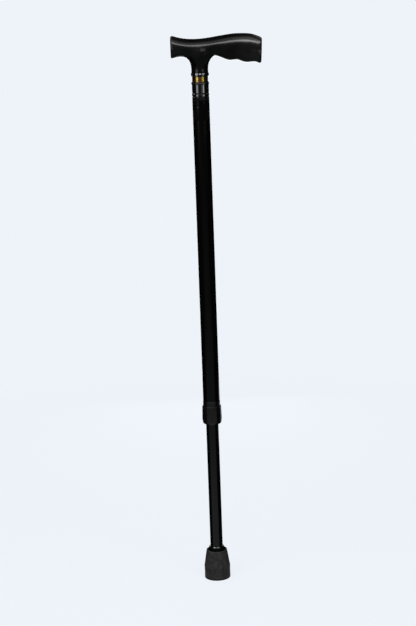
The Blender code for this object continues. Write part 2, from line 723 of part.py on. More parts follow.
def through(wanted, closed=False):
    """Cage points whose smooth surface passes through the wanted points."""
    wanted = [Vector(point) for point in wanted]
    cage = [point.copy() for point in wanted]
    count = len(wanted)
    for _ in range(SETTLING_PASSES):
        settled = []
        for i, point in enumerate(cage):
            if not closed and i in (0, count - 1):
                settled.append(point)
                continue
            reached = (cage[i - 1] + 4 * point + cage[(i + 1) % count]) / 6
            settled.append(point + wanted[i] - reached)
        cage = settled
    return cage


def handle_section(share, crown, underside, width, flank):
    """Eight points round one section, from the crown down the +Y side and back up the -Y side."""
    x = share * (NOSE_REACH if share < 0 else GRIP_REACH)
    top = crown * HANDLE_HEIGHT
    bottom = underside * HANDLE_HEIGHT
    half = width * GRIP_WIDTH / 2
    low = flank * GRIP_WIDTH / 2
    side = top - SIDE_HEIGHT * (top - bottom)
    shoulder = top - CROWN_DROP * half
    heel = bottom + UNDERSIDE_RISE * half
    points = [
        (0.0, top),
        (SHOULDER_WIDTH * half, shoulder),
        (half, side),
        (low, heel),
        (0.0, bottom),
        (-low, heel),
        (-half, side),
        (-SHOULDER_WIDTH * half, shoulder),
    ]
    # towards its end the grip's sections lean out at the top
    lean = math.tan(GRIP_END_LEAN) * max(share, 0.0) ** GRIP_LEAN_RAMP
    return [(x + lean * (z - (top + bottom) / 2), y, z) for y, z in points]


def neck_ring(radius, height, count):
    """A ring of the neck, its points facing those round the opening that it hangs from."""
    # the smooth surface of a ring of few points lies inside them
    swell = 6 / (4 + 2 * math.cos(math.tau / count))
    ring = []
    for i in range(count):
        angle = math.pi + math.tau * i / count
        ring.append(Vector((radius * swell * math.cos(angle), radius * swell * math.sin(angle), height)))
    return ring


def build_handle(parts, look, upper, room):
    rings = [through(handle_section(*row), closed=True) for row in HANDLE_SECTIONS]
    columns = [through([ring[k] for ring in rings]) for k in range(8)]
    cage = bmesh.new()
    crease = cage.edges.layers.float.new("crease_edge")
    verts = [[cage.verts.new(columns[k][i]) for k in range(8)] for i in range(len(rings))]
    heels = (3, 4)
    for i in range(len(rings) - 1):
        for k in range(8):
            if i in (NECK_SECTION - 1, NECK_SECTION) and k in heels:
                continue
            after = (k + 1) % 8
            cage.faces.new((verts[i][k], verts[i][after], verts[i + 1][after], verts[i + 1][k]))
    for ring in (verts[0], verts[-1]):
        for k in range(8):
            cage.edges.get((ring[k], ring[(k + 1) % 8]))[crease] = END_CREASE
    cage.faces.new(list(reversed(verts[0])))
    cage.faces.new(verts[-1])
    # the opening in the underside, round from the nose side by way of -Y
    before, middle, after = (verts[NECK_SECTION + step] for step in (-1, 0, 1))
    opening = [before[4], before[5], middle[5], after[5], after[4], after[3], middle[3], before[3]]
    cage.verts.remove(middle[4])
    radius = NECK_DIAMETER / 2
    levels = (
        (radius - NECK_WAIST + NECK_ROOT_FLARE, NECK_ROOT_HEIGHT),
        (radius - NECK_WAIST, NECK_WAIST_HEIGHT),
        (radius, 0.0),
    )
    upper_ring = opening
    for ring_radius, height in levels:
        ring = [cage.verts.new(point) for point in neck_ring(ring_radius, height, len(opening))]
        for k in range(8):
            cage.faces.new((upper_ring[k], upper_ring[(k + 1) % 8], ring[(k + 1) % 8], ring[k]))
        upper_ring = ring
    for k in range(8):
        cage.edges.get((upper_ring[k], upper_ring[(k + 1) % 8]))[crease] = 1.0
    cage.faces.new(upper_ring)
    bmesh.ops.recalc_face_normals(cage, faces=cage.faces)
    mesh = bpy.data.meshes.new("handle")
    cage.to_mesh(mesh)
    cage.free()
    mesh.shade_smooth()
    handle = add_object("handle", mesh, parts, HANDLE_Z, look["grip"])
    surface = handle.modifiers.new("surface", "SUBSURF")
    surface.levels = SURFACE_LEVELS
    surface.render_levels = SURFACE_LEVELS
    join_shapes(handle, room, "DIFFERENCE")
    handle.parent = upper


def main():
    clear_scene()
    parts = new_collection("walking_cane")
    cutters = new_collection("cane_cutters")
    look = {
        "grip": new_material("black_grip_plastic", (0.012, 0.012, 0.013), 0.38),
        "gloss": new_material("gloss_black_plastic", (0.008, 0.008, 0.009), 0.08),
        "plastic": new_material("black_nut_plastic", (0.020, 0.018, 0.018), 0.35),
        "tube": new_material("black_anodised_tube", (0.010, 0.010, 0.010), 0.32),
        "gold": new_material("polished_gold_brass", (0.80, 0.52, 0.17), 0.16, 1.0),
        "rubber": new_material("black_rubber", (0.030, 0.030, 0.030), 0.65),
        "steel": new_material("bright_steel", (0.62, 0.62, 0.60), 0.30, 1.0),
        "nylon": new_material("white_nylon", (0.75, 0.74, 0.70), 0.50),
    }
    upper = add_empty("upper_shaft", parts)
    nut_axis = add_empty("nut_axis", parts, NUT_Z)
    nut_axis.parent = upper
    lower = build_lower(parts, cutters, look)
    build_button(parts, look, lower)
    build_spring(parts, look, lower)
    build_bush(parts, look, upper)
    build_collet(parts, cutters, look, nut_axis)
    build_nut(parts, cutters, look, nut_axis)
    tube = build_upper_tube(parts, cutters, look, upper)
    build_collar(parts, cutters, look, upper, tube)
    build_rings(parts, look, upper)
    room = build_stud(parts, cutters, look, upper)
    build_handle(parts, look, upper, room)


main()
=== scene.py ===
"""The looks of an adjustable walking cane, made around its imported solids.

Lengths are metres, +Z is up, the shaft stands on Z and the long grip points along +X. The camera
looks along +Y, so -Y is the front of the cane and +Y the side with the row of holes.
"""

import json
import math

import bmesh
import bpy
from mathutils import Matrix, Vector
from mathutils.bvhtree import BVHTree


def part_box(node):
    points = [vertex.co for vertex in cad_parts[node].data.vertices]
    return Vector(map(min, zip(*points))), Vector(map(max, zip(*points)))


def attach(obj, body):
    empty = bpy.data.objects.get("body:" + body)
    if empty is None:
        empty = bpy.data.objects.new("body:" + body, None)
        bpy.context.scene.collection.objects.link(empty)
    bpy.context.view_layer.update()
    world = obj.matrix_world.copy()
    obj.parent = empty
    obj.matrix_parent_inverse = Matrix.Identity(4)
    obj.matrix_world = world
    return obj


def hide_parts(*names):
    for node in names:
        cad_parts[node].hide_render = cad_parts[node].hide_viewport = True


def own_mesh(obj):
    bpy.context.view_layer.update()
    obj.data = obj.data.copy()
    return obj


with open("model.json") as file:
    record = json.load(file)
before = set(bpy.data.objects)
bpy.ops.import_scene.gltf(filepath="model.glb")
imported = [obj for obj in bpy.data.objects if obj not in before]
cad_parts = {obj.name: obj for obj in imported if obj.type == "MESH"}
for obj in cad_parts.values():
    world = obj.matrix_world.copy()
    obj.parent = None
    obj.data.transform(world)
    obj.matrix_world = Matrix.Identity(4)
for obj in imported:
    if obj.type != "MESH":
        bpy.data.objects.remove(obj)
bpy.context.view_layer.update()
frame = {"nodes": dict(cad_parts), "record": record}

MM = 0.001

# Camera, fitted to the cane's outline in the photograph, which is 626 pixels high
PHOTO_HEIGHT = 626
FOCAL_PIXELS = 2105.5
SENSOR_HEIGHT_MM = 36.0
CAMERA_PLACE = Vector((-0.0006, -3.0958, 1.1961))
CAMERA_PITCH = math.radians(76.01)
CAMERA_ROLL = math.radians(-2.04)
CAMERA_CLIP = (0.05, 100.0)

# Floor and surround
PALE = (0.855, 0.896, 0.947)
FILL = 0.15
FLOOR_RADIUS = 8.0
SHADOW_CORE = 0.3
SHADOW_RADIUS = 1.2
SHADOW_SHARE = 0.12

# Screens. A span is two azimuths, in degrees round the cane from the camera's side to the right.
CLOTH = (0.006, 0.006, 0.006)
TENT_RADIUS = 1.9
TENT_STEPS = 48
SCREEN_RADIUS = 0.5
SCREEN_STEP = 3.0
LOW_FRONT = (-64.0, 50.0)
LOW_HEIGHTS = (0.0, 0.28)
FRONT = (-42.0, 34.0)
FRONT_HEIGHTS = (0.28, 0.65)
MIDDLE_FRONT = (-24.0, 8.0)
MIDDLE_HEIGHTS = (0.65, 1.05)
BACK_OPENING = (165.0, 195.0)
SIDE_FOOT_RADIUS = 0.06
SIDE_WALL_HEIGHT = 0.45
SIDE_TOP = 1.05
GLOW_FOOT = 0.60
GLOW_HEIGHT = 0.56
GLOW_TOP = 0.08
CARD = (129.0, 171.0)
CARD_HEIGHTS = (0.155, 0.240)
CARD_GAP = 0.004

# Flags below the handle, which leave the shaft free: each from one x to another and one y to another
FLAG_HEIGHT = 0.72
FLAG_GLOW = 0.09
FLAGS = (
    ((-0.100, -0.020), (0.030, -0.130)),
    ((-0.020, 0.000), (-0.014, -0.130)),
    ((0.000, 0.020), (-0.014, -0.190)),
    ((0.020, 0.160), (0.030, -0.190)),
)

# Upright lamps round the cane: azimuth, width, heights, radiance and colour
WHITE = (1.0, 1.0, 1.0)
COOL = (0.97, 0.96, 1.0)
STRIP_DISTANCE = 1.0
UPRIGHT_LAMPS = {
    "left_strip": (-44.5, 0.48, (0.605, 0.660), 3.0, COOL),
    "left_panel": (-44.5, 0.48, (0.660, 1.400), 1.4, COOL),
    "right_panel": (26.0, 0.43, (0.600, 0.652), 0.8, (1.0, 1.0, 0.96)),
    "right_strip": (48.0, 0.36, (0.600, 0.652), 4.3, (1.0, 1.0, 0.90)),
    "back_strip": (180.0, 0.42, (0.040, 0.680), 3.4, WHITE),
}

# Lamps overhead: place, what they face, size, radiance and colour
OVERHEAD_LAMPS = {
    "front_overhead": ((-0.05, -0.84, 1.68), (-0.05, 0.0, 0.83), (1.9, 0.74), 5.2, (1.0, 0.99, 0.98)),
    "high_left": ((-0.71, -0.61, 1.59), (0.0, 0.0, 0.80), (0.78, 0.42), 5.0, WHITE),
    "high_right": ((0.71, -0.61, 1.59), (0.0, 0.0, 0.80), (0.78, 0.42), 3.2, WHITE),
    "ceiling": ((0.0, -0.32, 1.65), (0.0, -0.32, 0.0), (1.7, 0.50), 0.55, WHITE),
    "back_left": ((-0.60, 0.60, 1.50), (0.0, 0.0, 0.83), (0.5, 0.5), 2.5, WHITE),
    "back_right": ((0.60, 0.60, 1.50), (0.0, 0.0, 0.83), (0.5, 0.5), 0.4, WHITE),
}

# Turned pieces. A dome's flat top starts at that many degrees.
FINE_STEPS = 96
SMALL_STEPS = 48
SHARP_ANGLE = math.radians(21.0)
LONG_STRAIGHT = 1.5 * MM
SUPPORT_INSET = 0.12 * MM
FACET_SUPPORTS = (0.08, 0.92)
DOME_TOP = 84.0

# Shaft
TUBE_CHAMFER = 0.25 * MM
TUBE_WALL = 1.2 * MM
HOLE_COUNT = 7
HOLE_PITCH = 25.4 * MM
LOWEST_HOLE_HEIGHT = 40.0 * MM
HOLE_RADIUS = 3.5 * MM
HOLE_CHAMFER = 0.35 * MM
CUTTER_PROUD = 2.0 * MM
RIVET_HOLE_RADIUS = 1.8 * MM
RIVET_TURN = math.radians(-22.0)
RIVET_DROP = 11.4 * MM
TUBE_WORN = (160.0 * MM, 200.0 * MM)

# Snap button and its spring
BUTTON_RADIUS = 3.2 * MM
BUTTON_DOME = 1.0 * MM
BUTTON_FLANGE_RADIUS = 4.0 * MM
BUTTON_FLANGE_THICKNESS = 0.8 * MM
SPRING_THICKNESS = 0.6 * MM
SPRING_STEPS = 20

# Collar
SPIGOT_RADIUS = 10.35 * MM
STUD_BORE = 5.3 * MM
SLEEVE_LENGTH = 23.1 * MM
SLEEVE_STEP = 0.1 * MM
FLANGE_THICKNESS = 3.3 * MM
FLANGE_BEVEL = (1.1 * MM, 1.6 * MM)
FLANGE_ROUNDING = 0.3 * MM
COLLAR_PLUG_LENGTH = 25.0 * MM
PLUG_GAP = 0.3 * MM
BEAD_COUNT = 2
BEAD_PITCH = 5.0 * MM
BEAD_DEPTH = 0.8 * MM
BEAD_OVERHANG = 0.1 * MM
GROOVE_HALF = 1.05 * MM
GROOVE_STEPS = 14
LOWER_BEAD_TAPER = 0.055 * MM
BAND_WALL = 1.2 * MM
BAND_ROUNDING = 0.35 * MM
BAND_FOOT_ROUNDING = 0.8 * MM
RIVET_HEAD_HEIGHT = 0.8 * MM
RIVET_SHANK_RADIUS = 1.5 * MM
RIVET_SHANK_LENGTH = 4.0 * MM

# Bevels that catch the overhead light: degrees they face up, length, and the rounding at their ends
RING_BEVEL = (27.0, 1.8 * MM, 0.15 * MM)
LIP_BEVEL = (37.0, 0.5 * MM, 0.10 * MM)
TIP_BEVEL = (41.0, 1.35 * MM, 0.15 * MM)

# Threaded bush
RUNNING_BORE = 9.825 * MM
LIP_HEIGHT = 7.2 * MM
THREAD_TOP_GAP = 0.2 * MM
THREAD_PITCH = 2.0 * MM
THREAD_ROOT = 11.25 * MM
THREAD_CREST = 11.85 * MM
THREAD_STEEPNESS = 1.5
THREAD_ROWS = 10

# Lock nut. Its steps are degrees from the middle of a flat, close together at the rounded corners.
NUT_SIDES = 12
NUT_STEPS = (-15.0, -13.5, -12.2, -11.85, -11.4, -10.5, -5.0, 0.0, 5.0, 10.5, 11.4, 11.85, 12.2, 13.5)
NUT_CORNER = 15.2 * MM
NUT_TRIM = 0.2 * MM
NUT_TAPER = 0.6 * MM
NUT_TOP_FALL = (0.4 * MM, 0.08 * MM)
NUT_CHAMFER = 0.9 * MM
NUT_CHAMFER_SHARES = (0.3, 0.65, 1.0)
NUT_SKIRT = 6.0 * MM
NUT_LEDGE = (0.35 * MM, 0.25 * MM)
NUT_LEDGE_DROP = 0.05 * MM
NUT_RING_STEP = 0.8 * MM
NUT_BORE = 12.1 * MM
NUT_FLOOR = 3.2 * MM
NUT_SEAT_RISE = 3.9 * MM

# The nut's round foot: how far in and how far up, in shares of its bevel
NUT_BEVEL = 3.0 * MM
NUT_FOOT = ((0.0, 1.0), (0.12, 0.55), (0.30, 0.27), (0.52, 0.08), (0.75, 0.0))

# Rubber tip
TIP_NECK_WALL = 1.7 * MM
TIP_NECK_RISE = 1.1 * MM
TIP_MOAT_WIDTH = 2.9 * MM
TIP_MOAT_DEPTH = 3.8 * MM
TIP_MOAT_FILLET = 1.2 * MM
TIP_CREST_RISE = 0.5 * MM
TIP_RIM_RADIUS = 16.1 * MM
TIP_RIM_HEIGHT = 46.0 * MM
TIP_RIM_ROUNDING = 2.4 * MM
TIP_BORE_GAP = 0.3 * MM
TIP_FLARE_HEIGHT = 19.8 * MM
TIP_FLARE_EASE = (0.15 * MM, 0.9 * MM)
TIP_FLARE_LAND = 0.6 * MM
TIP_FLARE_FOOT = 1.8 * MM
TIP_BASE_RADIUS = 19.9 * MM
TIP_WAIST_STEP = 0.15 * MM
TIP_WAIST_HEIGHT = 11.9 * MM
SOLE_THICKNESS = 7.0 * MM
SOLE_CORNER = 1.0 * MM
SOLE_MIDDLE = 1.0 * MM
TREAD_RINGS = 3
TREAD_DEPTH = 1.6 * MM
TREAD_GROOVE_SHARE = 0.42
TREAD_WALL_DRAFT = 0.4 * MM

# The tip's cone, which opens faster towards its foot: how far out and how far up, in shares of it
TIP_CONE = ((0.17, 0.77), (0.38, 0.57), (0.56, 0.39), (0.73, 0.22))

# Where the tip's finish changes: heights, and for the moat's edge the distance from the axis
TIP_DUSTY = (2.0 * MM, 16.0 * MM)
TIP_SHADED_FOOT = (1.6 * MM, 2.8 * MM)
TIP_MOAT_EDGE = (14.2 * MM, 15.2 * MM)
TIP_MOAT_LEVEL = (30.0 * MM, 34.0 * MM)
TIP_POLISHED = (50.4 * MM, 51.1 * MM)

# Handle
NOSE_REACH = 42.0 * MM
GRIP_REACH = 91.9 * MM
HANDLE_HEIGHT = 55.4 * MM
GRIP_WIDTH = 30.0 * MM
NECK_RADIUS = 12.5 * MM
NECK_WAIST = 0.2 * MM
NECK_WAIST_HEIGHT = 5.0 * MM
NECK_ROOT_HEIGHT = 13.9 * MM
NECK_ROOT_FLARE = 0.9 * MM
GRIP_END_LEAN = math.radians(3.0)
GRIP_LEAN_RAMP = 8
CROWN_DROP = 0.36
SIDE_HEIGHT = 0.45
UNDERSIDE_RISE = 0.34
SHOULDER_WIDTH = 0.74
END_CREASE = 0.8
SURFACE_LEVELS = 4
SETTLING_PASSES = 60
FINE_SCALE = 0.9998

# Sections from nose to grip end, eight points each, with the neck under the one at 0:
# reach, crown, underside, width and width low on the flank, in shares of the handle's sizes.
# They are those of the solid, apart from the ends, which are rounded a little more.
SECTION_POINTS = 8
NECK_SECTION = 5
HANDLE_SECTIONS = (
    (-1.000, 0.945, 0.412, 0.70, 0.55),
    (-0.955, 0.982, 0.386, 0.865, 0.68),
    (-0.848, 0.967, 0.397, 0.91, 0.71),
    (-0.667, 0.929, 0.419, 0.90, 0.72),
    (-0.392, 0.895, 0.401, 0.89, 0.74),
    (0.000, 0.888, 0.399, 0.90, 0.86),
    (0.191, 0.919, 0.422, 0.92, 0.76),
    (0.292, 0.944, 0.405, 0.94, 0.74),
    (0.389, 0.965, 0.339, 0.97, 0.76),
    (0.490, 0.987, 0.287, 1.00, 0.78),
    (0.589, 0.999, 0.297, 1.00, 0.78),
    (0.670, 0.998, 0.255, 1.00, 0.78),
    (0.751, 0.993, 0.220, 1.00, 0.78),
    (0.837, 0.973, 0.226, 0.98, 0.77),
    (0.907, 0.936, 0.218, 0.95, 0.75),
    (0.950, 0.905, 0.190, 0.93, 0.73),
    (0.983, 0.876, 0.196, 0.86, 0.67),
    (1.000, 0.843, 0.231, 0.70, 0.55),
)

# Where the handle's finish changes: along it, and for the paler ends, a painted sheen, from its middle
GRIP_MIDDLE = 15.0 * MM
GRIP_PAINTED_SHEEN = (25.0 * MM, 70.0 * MM)
GRIP_POLISHED = (40.0 * MM, 85.0 * MM)

# The bare pad on the handle's front, above the neck, and its levels: share of the outline, and height
PAD_CENTRE = (5.6 * MM, 34.1 * MM)
PAD_SIZE = (7.6 * MM, 4.0 * MM)
PAD_CORNER = 1.1 * MM
PAD_CORNER_STEPS = 6
PAD_RISE = 0.15 * MM
PAD_ROOT = 0.4 * MM
PAD_LEVELS = ((1.0, -PAD_ROOT), (1.0, 0.6 * PAD_RISE), (0.97, PAD_RISE), (0.6, PAD_RISE), (0.25, PAD_RISE))
PAD_CAST_DISTANCE = 100.0 * MM

BODY_OF = {}
for body, members in frame["record"]["behaviour"]["bodies"].items():
    for member in members:
        BODY_OF[member] = body


# Materials

class Nodes:
    """A node tree, with short ways to add nodes and to join them."""

    def __init__(self, tree):
        self.nodes = tree.nodes
        self.links = tree.links

    def feed(self, socket, value):
        """Gives an input its value, or joins it to the output of another node."""
        if isinstance(value, bpy.types.NodeSocket):
            self.links.new(value, socket)
        else:
            socket.default_value = value

    def add(self, kind, inputs=None, **settings):
        """A node with its settings, and its inputs fed by name or number."""
        node = self.nodes.new(kind)
        for key, value in settings.items():
            setattr(node, key, value)
        for key, value in (inputs or {}).items():
            self.feed(node.inputs[key], value)
        return node

    def math(self, operation, *values):
        return self.add("ShaderNodeMath", dict(enumerate(values)), operation=operation).outputs[0]

    def ranged(self, value, low, high, start=0.0, end=1.0, curve="LINEAR"):
        """The value's stretch from start to end, spread from low to high."""
        inputs = {"Value": value, "From Min": start, "From Max": end, "To Min": low, "To Max": high}
        return self.add("ShaderNodeMapRange", inputs, interpolation_type=curve).outputs["Result"]

    def place(self):
        return self.add("ShaderNodeTexCoord").outputs["Object"]

    def axis(self, name):
        return self.add("ShaderNodeSeparateXYZ", {0: self.place()}).outputs[name]


class Finish(Nodes):
    """A Principled material, varied over the surface by its nodes."""

    def __init__(self, name, metallic=0.0, specular=0.5):
        self.material = bpy.data.materials.new(name)
        self.material.use_nodes = True
        super().__init__(self.material.node_tree)
        self.shader = self.nodes["Principled BSDF"].inputs
        self.feed(self.shader["Metallic"], metallic)
        self.shine(specular)
        self.normal = None

    def noise(self, scale, detail=3.0, roughness=0.55, stretch=(1.0, 1.0, 1.0)):
        """Noise whose features are about 1 / scale metres across, stretched along the axes."""
        place = self.add("ShaderNodeMapping", {"Vector": self.place(), "Scale": stretch}).outputs["Vector"]
        inputs = {"Vector": place, "Scale": scale, "Detail": detail, "Roughness": roughness}
        return self.add("ShaderNodeTexNoise", inputs).outputs["Fac"]

    def spread(self, value, low, high, start=0.35, end=0.65):
        """The value's middle stretch, from start to end, spread smoothly from low to high."""
        return self.ranged(value, low, high, start, end, "SMOOTHSTEP")

    def rising(self, value, span):
        """0 before the span and 1 after it."""
        return self.spread(value, 0.0, 1.0, *span)

    def falling(self, value, span):
        """1 before the span and 0 after it."""
        return self.spread(value, 1.0, 0.0, *span)

    def blend(self, share, below, above):
        """The base colour, from the one below to the one above as the share goes from 0 to 1."""
        inputs = {"Factor": share, "A": below, "B": (*above, 1.0)}
        mix = self.add("ShaderNodeMix", inputs, data_type="RGBA")
        self.feed(self.shader["Base Color"], mix.outputs["Result"])

    def mottle(self, noise, dark, light):
        """A base colour that varies with a noise."""
        self.blend(self.spread(noise, 0.0, 1.0), (*dark, 1.0), light)

    def over(self, share, colour):
        """Lays another colour over the one so far, where the share is 1."""
        self.blend(share, self.shader["Base Color"].links[0].from_socket, colour)

    def rough(self, value):
        self.feed(self.shader["Roughness"], value)

    def shine(self, value):
        self.feed(self.shader["Specular IOR Level"], value)

    def bump(self, value, depth):
        """Height of the value, from 0 to 1, times a depth in metres, on top of what is there."""
        inputs = {"Strength": 1.0, "Distance": depth, "Height": value}
        if self.normal is not None:
            inputs["Normal"] = self.normal
        self.normal = self.add("ShaderNodeBump", inputs).outputs["Normal"]
        self.feed(self.shader["Normal"], self.normal)

    def grain(self, scale, depth):
        """The fine even grain of a moulded or plated surface."""
        self.bump(self.noise(scale, 2.0), depth)

    def seam(self, axis_name, half_width, depth):
        """A mould's parting line where the coordinate is 0."""
        off = self.math("ABSOLUTE", self.axis(axis_name))
        self.bump(self.falling(off, (0.4 * half_width, half_width)), depth)


def grip_plastic():
    finish = Finish("satin_grip_plastic")
    finish.mottle(finish.noise(90.0, 4.0), (0.0010, 0.0010, 0.0011), (0.0017, 0.0017, 0.0018))
    # both ends are painted a little paler, a painted sheen, and the grip's end is polished
    along = finish.math("ABSOLUTE", finish.math("SUBTRACT", finish.axis("X"), GRIP_MIDDLE))
    finish.over(finish.rising(along, GRIP_PAINTED_SHEEN), (0.0040, 0.0040, 0.0040))
    finish.shine(finish.spread(finish.axis("X"), 0.45, 0.83, *GRIP_POLISHED))
    finish.rough(finish.spread(finish.noise(1400.0, 2.0), 0.18, 0.24))
    finish.grain(2600.0, 0.012 * MM)
    finish.seam("Y", 0.22 * MM, 0.05 * MM)
    return finish.material


def pad_plastic():
    finish = Finish("bare_pad_plastic", specular=0.2)
    finish.mottle(finish.noise(700.0), (0.0095, 0.0098, 0.0098), (0.0135, 0.0138, 0.0138))
    finish.rough(finish.spread(finish.noise(1800.0), 0.48, 0.58))
    finish.grain(3000.0, 0.015 * MM)
    return finish.material


def gloss_plastic(name, specular, low, high):
    """Gloss black, with its roughness from low to high where the rings are faintly rubbed."""
    finish = Finish(name, specular=specular)
    finish.mottle(finish.noise(160.0), (0.0015, 0.0015, 0.0018), (0.0028, 0.0028, 0.0032))
    rubbed = finish.noise(220.0, 4.0, 0.7, (0.15, 0.15, 6.0))
    finish.rough(finish.spread(rubbed, low, high, 0.40, 0.75))
    finish.bump(finish.noise(60.0, 1.0), 0.02 * MM)
    return finish.material


def nut_plastic():
    finish = Finish("satin_nut_plastic", specular=0.26)
    finish.mottle(finish.noise(140.0, 4.0), (0.0022, 0.0020, 0.0021), (0.0036, 0.0032, 0.0033))
    finish.rough(finish.spread(finish.noise(900.0), 0.30, 0.40))
    finish.grain(2400.0, 0.015 * MM)
    return finish.material


def drawn_tube(name, specular, dark, light):
    """Black anodised aluminium, with fine lines along the tube from its drawing."""
    finish = Finish(name, specular=specular)
    drawn = finish.noise(500.0, 3.0, 0.6, (1.0, 1.0, 0.02))
    finish.mottle(drawn, dark, light)
    finish.rough(finish.spread(finish.noise(260.0, 4.0, 0.6, (1.0, 1.0, 0.05)), 0.20, 0.27))
    finish.bump(drawn, 0.004 * MM)
    return finish


def anodised_tube():
    finish = drawn_tube("black_anodised_metal", 0.13, (0.0006, 0.0006, 0.0006), (0.0012, 0.0012, 0.0011))
    return finish.material


def rubbed_tube():
    """The lower tube, with light rubbing rings where the nut and the bush run on it."""
    finish = drawn_tube("rubbed_anodised_metal", 0.18, (0.0008, 0.0008, 0.0007), (0.0015, 0.0015, 0.0013))
    rings = finish.spread(finish.noise(900.0, 3.0, 0.7, (0.02, 0.02, 1.0)), 0.0, 0.35, 0.58, 0.72)
    worn = finish.math("MULTIPLY", rings, finish.rising(finish.axis("Z"), TUBE_WORN))
    finish.over(worn, (0.016, 0.016, 0.016))
    return finish.material


def polished_gold():
    finish = Finish("polished_gold", metallic=1.0)
    finish.mottle(finish.noise(120.0), (0.48, 0.30, 0.070), (0.56, 0.36, 0.095))
    turned_lines = finish.noise(1500.0, 3.0, 0.7, (0.02, 0.02, 1.0))
    finish.rough(finish.spread(turned_lines, 0.16, 0.26))
    finish.bump(turned_lines, 0.003 * MM)
    return finish.material


def moulded_rubber():
    finish = Finish("moulded_rubber")
    height = finish.axis("Z")
    finish.mottle(finish.noise(160.0, 5.0), (0.027, 0.027, 0.027), (0.045, 0.045, 0.044))
    # dust gathers low on the tip
    specks = finish.spread(finish.noise(420.0, 5.0, 0.7), 0.0, 0.35, 0.45, 0.70)
    dust = finish.math("MULTIPLY", specks, finish.falling(height, TIP_DUSTY))
    finish.over(dust, (0.085, 0.083, 0.078))
    # black inside the moat and at the very foot, where hardly any light comes
    x, y = finish.axis("X"), finish.axis("Y")
    reach = finish.math("SQRT", finish.math("MULTIPLY_ADD", y, y, finish.math("MULTIPLY", x, x)))
    within = finish.falling(reach, TIP_MOAT_EDGE)
    moat = finish.math("MULTIPLY", within, finish.rising(height, TIP_MOAT_LEVEL))
    shaded = finish.math("MAXIMUM", moat, finish.falling(height, TIP_SHADED_FOOT))
    finish.over(shaded, (0.0015, 0.0015, 0.0015))
    # the top of the neck is moulded smooth
    matt = finish.spread(finish.noise(300.0), 0.55, 0.68)
    finish.rough(finish.math("ADD", matt, finish.spread(height, 0.0, -0.44, *TIP_POLISHED)))
    finish.shine(finish.spread(height, 0.06, 1.0, *TIP_POLISHED))
    finish.bump(finish.noise(1500.0), 0.04 * MM)
    finish.seam("X", 0.3 * MM, 0.08 * MM)
    return finish.material


def plated_steel():
    finish = Finish("zinc_plated_steel", metallic=1.0)
    finish.mottle(finish.noise(260.0, 4.0), (0.50, 0.51, 0.50), (0.66, 0.66, 0.64))
    finish.rough(finish.spread(finish.noise(700.0), 0.22, 0.36))
    finish.grain(1800.0, 0.01 * MM)
    return finish.material


def natural_nylon():
    finish = Finish("natural_nylon")
    finish.mottle(finish.noise(200.0), (0.68, 0.66, 0.60), (0.78, 0.77, 0.73))
    finish.rough(finish.spread(finish.noise(900.0), 0.42, 0.55))
    finish.grain(2200.0, 0.012 * MM)
    return finish.material


# Shapes

def arc(centre_radius, centre_height, reach, start, end, steps=6, rise=None):
    """Points on an arc, from one angle to another, in degrees, or on an ellipse with that rise."""
    if rise is None:
        rise = reach
    points = []
    for i in range(steps + 1):
        angle = math.radians(start + (end - start) * i / steps)
        points.append((centre_radius + reach * math.cos(angle), centre_height + rise * math.sin(angle)))
    return points


def round_foot(radius, height, rounding, steps=6):
    """The rounded lower edge of a turned piece."""
    return arc(radius - rounding, height + rounding, rounding, 0.0, -90.0, steps)


def bevelled(radius, top, bevel):
    """A top edge cut by a sloping facet between two small arcs, from the inside to the outside."""
    tilt, length, soft = bevel
    inward = length * math.sin(math.radians(tilt))
    upward = length * math.cos(math.radians(tilt))
    above = arc(radius - soft - inward, top - soft, soft, 90.0, tilt, steps=4)
    below = arc(radius - soft, top - soft - upward, soft, tilt, 0.0, steps=3)
    facet = [(above[-1][0] + share * inward, above[-1][1] - share * upward) for share in FACET_SUPPORTS]
    return [*above, *facet, *below]


def shade(mesh):
    """Shades a mesh smooth up to its sharp edges."""
    mesh.shade_smooth()
    mesh.set_sharp_from_angle(angle=SHARP_ANGLE)


def make(name, shape):
    """An object from a bmesh."""
    mesh = bpy.data.meshes.new(name)
    bmesh.ops.recalc_face_normals(shape, faces=shape.faces)
    shape.to_mesh(mesh)
    shape.free()
    thing = bpy.data.objects.new(name, mesh)
    bpy.context.scene.collection.objects.link(thing)
    shade(mesh)
    return thing


def bridge(shape, upper, lower):
    """Faces between two closed rows with the same number of points."""
    count = len(upper)
    for i in range(count):
        after = (i + 1) % count
        shape.faces.new((upper[i], lower[i], lower[after], upper[after]))


def ribbon(rows):
    """A bmesh of open rows of points, each joined to the next."""
    shape = bmesh.new()
    before = None
    for row in rows:
        here = [shape.verts.new(point) for point in row]
        if before is not None:
            for k in range(len(row) - 1):
                shape.faces.new((before[k], before[k + 1], here[k + 1], here[k]))
        before = here
    return shape


def supported(rings):
    """The rings with one more just inside each end of a long straight, so that it shades flat."""
    result = []
    for here, after in zip(rings, rings[1:]):
        result.append(here)
        if callable(here[0]) or callable(after[0]) or math.dist(here, after) < LONG_STRAIGHT:
            continue
        inset = SUPPORT_INSET / math.dist(here, after)
        for share in (inset, 1 - inset):
            result.append(tuple(a + (b - a) * share for a, b in zip(here, after)))
    result.append(rings[-1])
    return result


def ring_body(name, rings, steps=FINE_STEPS, capped=False, angles=None):
    """A body round Z from rings of (radius, height), down its outer side first.

    A radius may be a function of the angle. A capped body ends in two discs, and any other closes
    from its last ring to its first.
    """
    if angles is None:
        angles = [math.tau * i / steps for i in range(steps)]
    shape = bmesh.new()
    rows = []
    for radius, height in supported(rings):
        row = []
        for angle in angles:
            reach = radius(angle) if callable(radius) else radius
            row.append(shape.verts.new((reach * math.cos(angle), reach * math.sin(angle), height)))
        rows.append(row)
    for upper, lower in zip(rows, rows[1:]):
        bridge(shape, upper, lower)
    if capped:
        shape.faces.new(rows[0])
        shape.faces.new(list(reversed(rows[-1])))
    else:
        bridge(shape, rows[-1], rows[0])
    return make(name, shape)


